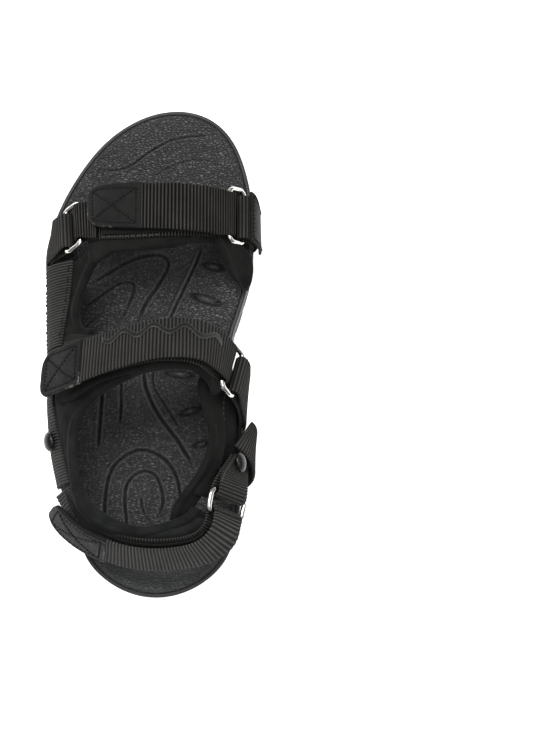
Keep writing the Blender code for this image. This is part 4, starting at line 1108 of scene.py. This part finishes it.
def ring(name, seat):
    """Wire ring with rounded corners, lying in the plane of its seat."""
    half_long, half_short = RING_LENGTH / 2 - RING_CORNER, RING_SPAN / 2 - RING_CORNER
    path = []
    for quarter, (a_sign, b_sign) in enumerate(((1, 1), (-1, 1), (-1, -1), (1, -1))):
        for a in np.linspace(quarter, quarter + 1, 12) * math.pi / 2:
            path.append((seat.near + seat.far) / 2
                        + seat.side * (a_sign * half_long + RING_CORNER * math.cos(a))
                        + seat.run * (b_sign * half_short + RING_CORNER * math.sin(a)))
    made = wire_loop(name + "_wire", path, unit(np.cross(seat.side, seat.run)), "steel")
    part(made, stands_for=[name])


def anchor_loop(name, fall):
    """Webbing folded round a ring, both plies running down into the sole."""
    outer = [(a, ply_height(a)) for a in np.linspace(fall.length, 0.4, 50)]
    inner = [(a, -height) for a, height in outer[::-1]]
    path = outer + arc((0.0, 0.0), math.pi / 2, 1.5 * math.pi) + inner
    return woven(name + "_woven", name, fall, path, lambda a: pinched(max(a, 0.0)), reference=0.2)


def panel_path(sign, thickness, start, end):
    """Path of a sheet outside (sign 1) or inside (-1) the two plies of an anchor."""
    depth = WEBBING_THICKNESS / 2 + GAP + thickness / 2
    return [(a, sign * (ply_height(a) + depth)) for a in np.linspace(start, end, 30)]


def tape(name, node, body, arch, path, edges):
    """Thin sheet of hook or loop tape, a little narrower than the webbing."""
    host = laid(arch, path, edges, PATCH_THICKNESS, 0.8, WEBBING - 2 * TAPE_INSET, round_edge=0.4)
    part(host.mesh(name, "hook"), body, [node])


def loop_tape(prefix, arch, start, end):
    path = level(WEBBING_THICKNESS + GAP + PATCH_THICKNESS / 2, start, end)
    tape(prefix + "_loop_tape", prefix + "_loop_patch", "sandal", arch, path,
         lambda a: (TAPE_INSET, WEBBING - TAPE_INSET))


def flap(prefix, arch, tab, skew, patch, worn, finish, lift=0.0):
    """Closure flap beyond the fold, from its free end to the ring.

    tab is where it starts and where its webbing joins it, patch where its hook tape starts and ends,
    skew how far it shifts sideways and lift how far it rises at the free end.
    """
    free, joint = tab
    body = prefix + "_flap"
    top = FLAP_LOW + WEBBING_THICKNESS

    def shift(along):
        return skew * max(0.0, arch.length - SKEW_START - along) / (arch.length - free - SKEW_START)

    def rise(along):
        return lift * float(ease((joint + 6.0 - along) / (joint + 6.0 - free)))

    def run(height, start, end, count):
        return [(a, height + rise(a)) for a in np.linspace(start, end, count)]

    def webbing_edges(along):
        return np.array(pinched(arch.length - along)) + shift(along)

    def tab_edges(along):
        off = min(max(0.0, free + TAB_CORNER - along), TAB_CORNER)
        inset = TAB_CORNER - math.sqrt(TAB_CORNER**2 - off**2)
        return shift(along) - TAB_OVERHANG + inset, shift(along) + WEBBING + TAB_OVERHANG - inset

    path = run(FLAP_LOW + WEBBING_THICKNESS / 2, arch.length + 0.1, joint + 0.2, 50)
    strap = laid(arch, path, webbing_edges, WEBBING_THICKNESS, ribs=RIB_DEPTH)
    made = part(strap.mesh(prefix + "_closure_woven", finish), None,
                [prefix + "_closure_webbing"])
    hinge, far = (arch.section(arch.length - a, [WEBBING / 2], top)[0] * MM for a in (0.0, BEND))
    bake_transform(made)

    def puff(s, edge, across):
        """Dents along the box of stitches and its cross."""
        hem = np.minimum(edge, s)
        dent = np.exp(-(((hem - HEM) / 0.55) ** 2))
        u = (s - 3.0) / (s.max() - 5.2)
        v = (across - across.min(axis=1, keepdims=True) - HEM) / (WEBBING - 4.0)
        for cross in (v - u, v + u - 1):
            dent = np.maximum(dent, np.exp(-((cross * 13.0 / 0.6) ** 2)) * (hem > HEM))
        return -0.2 * dent + 0.16 * ease((hem - 3.2) / 3.0)

    path = run(FLAP_LOW + TAB_THICKNESS / 2, free, joint + 0.6, 60)
    end = laid(arch, path, tab_edges, TAB_THICKNESS, step=0.5, spacing=0.7, round_edge=0.6, puff=puff)
    part(end.mesh(prefix + "_tab_cover", "leather", 0.9, worn), body,
         [prefix + "_closure_tab"])

    def corner(s, side):
        return s, tab_edges(free + s)[side] + HEM * (1 - 2 * side)

    first, last = 3.0, end.s[-1] - 2.2
    box = [[corner(s, side) for s in np.linspace(first, last, 8)] for side in (0, 1)]
    box += [[corner(s, 0), corner(s, 1)] for s in (first, last)]
    box += [[corner(first, side), corner(last, 1 - side)] for side in (0, 1)]
    stitched(prefix + "_tab_stitching", end, box, body=body)
    tape(prefix + "_hook_tape", prefix + "_hook_patch", body, arch,
         run(FLAP_LOW - GAP / 2 - PATCH_THICKNESS / 2, *patch, 40),
         lambda a: (shift(a) + TAPE_INSET, shift(a) + WEBBING - TAPE_INSET))


def rivet(name, centre, axis, grip):
    """Domed head on the webbing, with its shank and a plain head behind a grip's thickness."""
    seat, inside = 0.75, -grip - GAP
    profile = [(0.01, inside - 0.8), (RIVET_BACK - 0.2, inside - 0.8), (RIVET_BACK, inside - 0.6),
               (RIVET_BACK, inside), (RIVET_SHANK, inside), (RIVET_SHANK, seat),
               (RIVET_HEAD - 0.15, seat), (RIVET_HEAD, seat + 0.2)]
    profile += [(RIVET_HEAD * math.cos(a) + 0.01, seat + 0.45 + RIVET_DOME * math.sin(a))
                for a in np.linspace(0, math.pi / 2, 16)]
    part(turned(name + "_head", profile, centre, axis, 48, "rivet"), stands_for=[name])


# ---------------------------------------------------------------- groups


def forefoot(arch, medial_seat, lateral_seat):
    base = looped_base("forefoot_base_webbing", arch, True, "toe_webbing")
    loop_tape("forefoot", arch, 13.0, 54.0)
    flap("forefoot", arch, tab=(8.0, 30.0), skew=-4.5, patch=(13.0, 33.5), worn=(0.0, 0.5, 0.6, 1.0),
         finish="toe_webbing")
    foam("forefoot_lining_foam", arch, level(-GAP - LINING / 2, 1.0, arch.length - 0.5),
         lambda a: (-1.5, 22.5 + 8.5 * (1 - float(ease(a / 24.0)))), 26.0, ["forefoot_lining"])
    ring("forefoot_medial_ring", medial_seat)
    ring("forefoot_lateral_ring", lateral_seat)
    stitched("forefoot_base_stitching", base, [[(28.5, 19.2), (55.0, 19.2)]], "pale_thread", pitch=2.5)

    feet = foot_point(39.0, 63.2), foot_point(39.7, 43.4)
    inner = anchor_fall(medial_seat, feet, ((5.6, 0.0, 9.5), (5.9, 0.0, 9.5)), INWARD)
    anchor_loop("forefoot_medial_anchor", inner)

    def cover_edges(along):
        slant = float(ease(along / 12.0))
        return -0.8 + 4.5 * slant, 20.6 + 1.6 * slant

    cover = laid(inner, panel_path(1, COVER, 0.5, inner.length - 9.5), cover_edges, COVER, 0.5, 26.5, 0.9,
                 round_edge=0.5)
    part(cover.mesh("forefoot_medial_cover", "overlay"),
         stands_for=["forefoot_medial_overlay"])
    rows = [[(s, cover_edges(s)[side] + hem) for s in np.linspace(1.2, cover.s[-1] - 1.0, 8)]
            for side, hem in ((0, 1.4), (1, -1.4))]
    stitched("forefoot_cover_stitching", cover, [*rows, [(1.2, 0.8), (1.2, 19.0)]])
    foam("forefoot_medial_foam", inner, panel_path(-1, LINING, 1.0, inner.length - 8.5),
         lambda a: (-2.5, 22.5 + 0.75 * a), 28.0, ["forefoot_medial_lining"], 0.6, 1.3)

    feet = foot_point(-38.2, 57.4), foot_point(-41.8, 38.8)
    outer = anchor_fall(lateral_seat, feet, ((-4.0, 0.0, 9.5), (-4.8, 0.0, 9.5)), OUTWARD)
    anchor_loop("forefoot_lateral_anchor", outer)
    foam("forefoot_lateral_foam", outer, panel_path(-1, LINING, 1.0, outer.length - 8.5),
         lambda a: (-5.0, 19.5), 24.0, ["forefoot_lateral_lining"], 0.6, 1.3)


def instep(arch, seat):
    looped_base("instep_base_webbing", arch, False, "webbing")
    loop_tape("instep", arch, 4.0, 60.0)
    flap("instep", arch, tab=(-7.0, 14.5), skew=6.0, patch=(-3.0, 18.0), worn=(0.7, 1.0, 0.75, 1.0),
         finish="webbing")

    def wave(along):
        centre = 7.2 + 2.0 * math.sin(2 * math.pi * (along - 24.0) / 11.0)
        return centre - 1.25, centre + 1.25

    path = level(FLAP_LOW + WEBBING_THICKNESS + 0.2, 24.0, 68.0, 120)
    mark = laid(arch, path, wave, 0.5, 0.35, 3.0, 0.5, round_edge=0.2)
    part(mark.mesh("instep_wave_print", "badge", wear_width=0.45), "instep_flap",
         ["instep_badge"])

    def lining_edges(along):
        spreading = 1 - float(ease(along / 22.0))
        return -1.5 - 2.8 * spreading, 21.5 + 5.2 * spreading

    foam("instep_lining_foam", arch, level(-GAP - LINING / 2, -4.0, arch.length - 2.5), lining_edges, 28.0,
         ["instep_lining"])
    ring("instep_ring", seat)
    feet = foot_point(31.6, -17.0), foot_point(33.0, -37.0)
    fall = anchor_fall(seat, feet, ((9.5, 0.0, 13.0), (9.5, 0.0, 13.0)), INWARD)
    anchor_loop("instep_medial_anchor", fall)


def roll(name, rows, finish="lining", radius=1.9, width=8.5, ruled=False):
    """Padded roll along an opening, thinning to a sheet that goes behind the straps.

    A ruled one is as wide at each place as its row's offset is long.
    """
    rows = np.array(rows, float)
    knots = travelled(rows[:, :3])
    fine = np.array([smooth_at(knots, rows, a) for a in np.arange(0, knots[-1], 0.7)])
    back = unit(fine[:, 3:])
    shares = edge_columns(width, fine=(0.0, 0.15, 0.45, 0.9, 1.4), spacing=0.8)
    across = fine[:, 3:] if ruled else back * width
    mid = (fine[:, :3] - back * radius)[:, None] + across[:, None] * shares[None, :, None]

    def puff(s, edge, across):
        beyond = np.maximum(across * width - radius, 0.0)
        return (radius - 0.7) * np.exp(-((beyond / 1.5) ** 2))

    host = Ribbon(mid, np.array([shares] * len(mid)), 1.4, (0, 0, 1), round_edge=radius, puff=puff)
    padded(host, name, finish)


def heel(arch, seat):
    looped_base("heel_base_webbing", arch, False, "webbing")
    roll("heel_opening_roll", REAR_ROLL, "collar", 2.1)
    roll("inner_opening_roll", INNER_ROLL)
    roll("front_opening_roll", FRONT_ROLL)
    roll("toe_side_roll", TOE_SIDE_ROLL, width=12.0, ruled=True)
    loop_tape("heel", arch, 8.0, 70.0)
    flap("heel", arch, tab=(5.0, 28.0), skew=0.0, patch=(9.0, 30.0), worn=(0.6, 1.0, 0.35, 1.0),
         finish="heel_webbing", lift=2.5)
    ring("heel_ring", seat)


def medial(wall, seat):
    host = foam("medial_lining_foam", wall, level(-LINING / 2, 0.5, wall.length - 0.5),
                lambda a: (0.2, 1.0), 40.0, ["medial_lining"])
    stitched("medial_lining_stitching", host, [[(10.0, 0.84), (44.0, 0.84)]], "pale_thread", pitch=2.3)
    feet = (35.3, -47.5, 51.5), (39.8, -49.0, 32.5)
    back = anchor_fall(seat, feet, ((-1.5, -4.0, 4.0), (-0.5, -4.0, 4.5)), INWARD)
    tail = anchor_loop("heel_ring_anchor", back)
    seam = [(0.6, 1.2), (back.length - 3.0, 1.2)]
    stitched("heel_anchor_stitching", tail, [seam], "pale_thread", pitch=1.3)
    behind = Fall(
        ((37.8, -34.5, 42.0), (39.5, -34.0, 38.0), (39.0, -35.0, 31.0), (35.5, -36.0, 24.0)),
        ((37.8, -46.0, 42.0), (39.0, -46.0, 38.0), (39.0, -46.5, 31.0), (35.5, -46.5, 24.0)),
        INWARD,
    )
    fill = laid(behind, level(-0.6, 0.5, behind.length - 1.0, 40), lambda a: (0.0, 12.0), 1.6, width=12.0)
    padded(fill, "inner_side_gusset")
    down = Fall(
        ((42.7, -32.5, 40.5), (47.0, -35.0, 33.0), (43.5, -41.0, 27.5), foot_point(33.8, -42.0)),
        ((35.5, -44.5, 52.5), (45.5, -50.0, 46.5), (47.5, -59.0, 31.0), foot_point(34.2, -60.0)),
        INWARD,
    )
    path = level(WEBBING_THICKNESS / 2 - PLY, 0.0, down.length)
    woven("medial_down_woven", "medial_down_webbing", down, path, lambda a: (0.0, 18.0), width=18.0)
    outside = PLY + WEBBING_THICKNESS / 2
    within, centre = (back.section(back.length - 5.0, [5.5], height)[0] for height in (0.0, outside))
    rivet("medial_rivet", centre, centre - within, 8.5)


def lateral(wall, heel_arch):
    front, rear, strap_front, strap_rear = (wall.at_y(y) for y in (34.8, -60.6, -3.6, -22.6))

    def lining_edges(along):
        under = float(ease((along - strap_front + 6.0) / 5.0) * ease((strap_rear + 6.0 - along) / 5.0))
        return 0.27, 1.03 - 0.14 * under

    def rear_edges(along):
        climb = 0.13 * float(ease((along - strap_rear) / (rear - strap_rear)))
        return 0.39 + climb, 0.86 + climb

    foam("lateral_lining_foam", wall, level(-GAP - LINING / 2, front, strap_rear + 2.0), lining_edges, 28.0)
    middle = WEBBING_THICKNESS / 2
    host = woven("lateral_side_woven", "lateral_side_webbing", wall,
                 level(middle, front, strap_front - 0.6), lambda a: (0.42, 0.97))
    stitched("lateral_side_stitching", host, [[(2.0, w), (host.s[-1] - 1.0, w)] for w in (0.46, 0.93)])
    woven("lateral_rear_woven", "lateral_rear_webbing", wall,
          level(middle, strap_rear + 0.6, rear), rear_edges)
    within, centre = (wall.section(wall.at_y(-42.0), [0.8], h)[0] for h in (0.0, WEBBING_THICKNESS))
    rivet("lateral_rivet", centre, centre - within, WEBBING_THICKNESS + GAP + LINING)
    upright("instep_lateral_anchor", wall, strap_front, strap_rear, 1.0)
    upright("lateral_down_webbing", wall, wall.at_y(-41.5), wall.at_y(-59.5), 0.38)
    collar(wall, heel_arch, strap_rear, rear)


def upright(name, wall, front, rear, top):
    """Webbing that climbs a wall between two places along it, up to a share of its height."""
    face = Upright(wall, front)
    heights = np.linspace(0.06, top, 80)
    steps = travelled([face.section(r, [0.0], 0.0)[0] for r in heights])
    rises = np.interp(np.arange(0, steps[-1], RIB_STEP), steps, heights)
    across = edge_columns(rear - front) * (rear - front)
    mid = np.array([face.section(r, across, WEBBING_THICKNESS / 2) for r in rises])
    host = Ribbon(mid, np.array([across] * len(mid)), WEBBING_THICKNESS, wall.outward, ribs=RIB_DEPTH)
    part(host.mesh(name + "_woven", "webbing"), stands_for=[name])


def collar(wall, arch, start, rear):
    """One padded collar from behind the instep strap, along the outer side and round the heel."""
    shares = edge_columns(26.0, fine=(0.0, 0.25, 0.7, 1.3, 2.0), spacing=1.3)
    side, back = np.arange(start + 1.0, rear - 1.0, 0.9), np.arange(1.5, arch.length - 4.0, 0.9)
    count = len(side)
    mid = np.array(
        [wall.section(a, 0.27 + 0.78 * shares, -GAP - LINING / 2) for a in side]
        + [arch.section(a, 21.8 - 24.0 * shares, -GAP - HEEL_PAD / 2) for a in back]
    )
    for _ in range(30):
        low, high = max(count - 14, 1), min(count + 14, len(mid) - 1)
        mid[low:high] = (mid[low - 1:high - 1] + 2 * mid[low:high] + mid[low + 1:high + 1]) / 4
    extra = (HEEL_PAD - LINING) * ease((np.arange(len(mid)) - count + 20) / 40.0)[:, None] / 2
    host = Ribbon(mid, np.array([shares] * len(mid)), LINING, wall.outward, round_edge=1.9, reference=0.2,
                  puff=lambda s, edge, across: extra + 0.5 * ease(edge / 4.0))
    padded(host, "heel_collar_foam", "collar", ["lateral_lining", "heel_pad"])


def build():
    toe_arch, instep_arch = Arch(FOREFOOT_ARCH), Arch(INSTEP_ARCH)
    heel_arch = Arch(HEEL_BAND, np.array([0.0, -55.0, 0.0]))
    heel_seat = Seat(heel_arch, True)
    outsole()
    midsole()
    footbed()
    forefoot(toe_arch, Seat(toe_arch, True), Seat(toe_arch, False))
    instep(instep_arch, Seat(instep_arch, True))
    heel(heel_arch, heel_seat)
    medial(Wall(MEDIAL_LINING_WALL, INWARD), heel_seat)
    lateral(Wall([[(x, y, z) for x, z in four] for y, four in LATERAL_WALL], OUTWARD), heel_arch)


build()


# ---------------------------------------------------------------- studio


def lamp(name, place, size, power):
    """Square lamp aimed at the middle of the floor."""
    data = bpy.data.lights.new(name, "AREA")
    data.shape, data.size, data.energy = "SQUARE", size, power
    made = bpy.data.objects.new(name, data)
    made.location = place
    made.rotation_mode = "QUATERNION"
    made.rotation_quaternion = (-Vector(place)).to_track_quat("-Z", "Y")
    bpy.context.scene.collection.objects.link(made)


def studio():
    """White surroundings, a pale floor, two soft lamps and the camera."""
    scene = bpy.context.scene
    scene.view_settings.view_transform = "Standard"
    scene.world = world = bpy.data.worlds.new("studio")
    world.use_nodes = True
    tree = world.node_tree
    back = tree.nodes["Background"]
    back.inputs[0].default_value = (1.0, 1.0, 1.0, 1.0)
    kinds = "TexCoord", "SeparateXYZ", "MapRange"
    at, split, rise = (tree.nodes.new("ShaderNode" + kind) for kind in kinds)
    tree.links.new(at.outputs["Generated"], split.inputs[0])
    tree.links.new(split.outputs[2], rise.inputs[0])
    tree.links.new(rise.outputs[0], back.inputs[1])
    for index, value in ((1, 0.05), (2, 0.95), (3, 0.15), (4, 0.85)):
        rise.inputs[index].default_value = value

    mesh = bpy.data.meshes.new("floor")
    r = FLOOR_REACH
    corners = [(x, y, FLOOR_HEIGHT) for x, y in ((-r, -r), (r, -r), (r, r), (-r, r))]
    mesh.from_pydata(corners, [], [(0, 1, 2, 3)])
    floor = bpy.data.objects.new("floor", mesh)
    scene.collection.objects.link(floor)
    pale = Finish("pale_floor", (0.9, 0.9, 0.9), 0.9, Specular_IOR_Level=0.1, Emission_Strength=0.6,
                  Emission_Color=(1.0, 1.0, 1.0, 1.0))
    mesh.materials.append(pale.made)

    lamp("key", (-0.3, 0.45, 1.25), 0.7, 22.0)
    lamp("fill", (0.35, -0.35, 1.25), 0.8, 7.0)

    data = bpy.data.cameras.new("camera")
    data.sensor_width = 36.0
    data.lens = 114.9
    camera = bpy.data.objects.new("camera", data)
    camera.location = (0.0542, -0.1831, 1.0098)
    camera.rotation_euler = (math.radians(10.0), 0.0, 0.0)
    scene.collection.objects.link(camera)
    scene.camera = camera


studio()
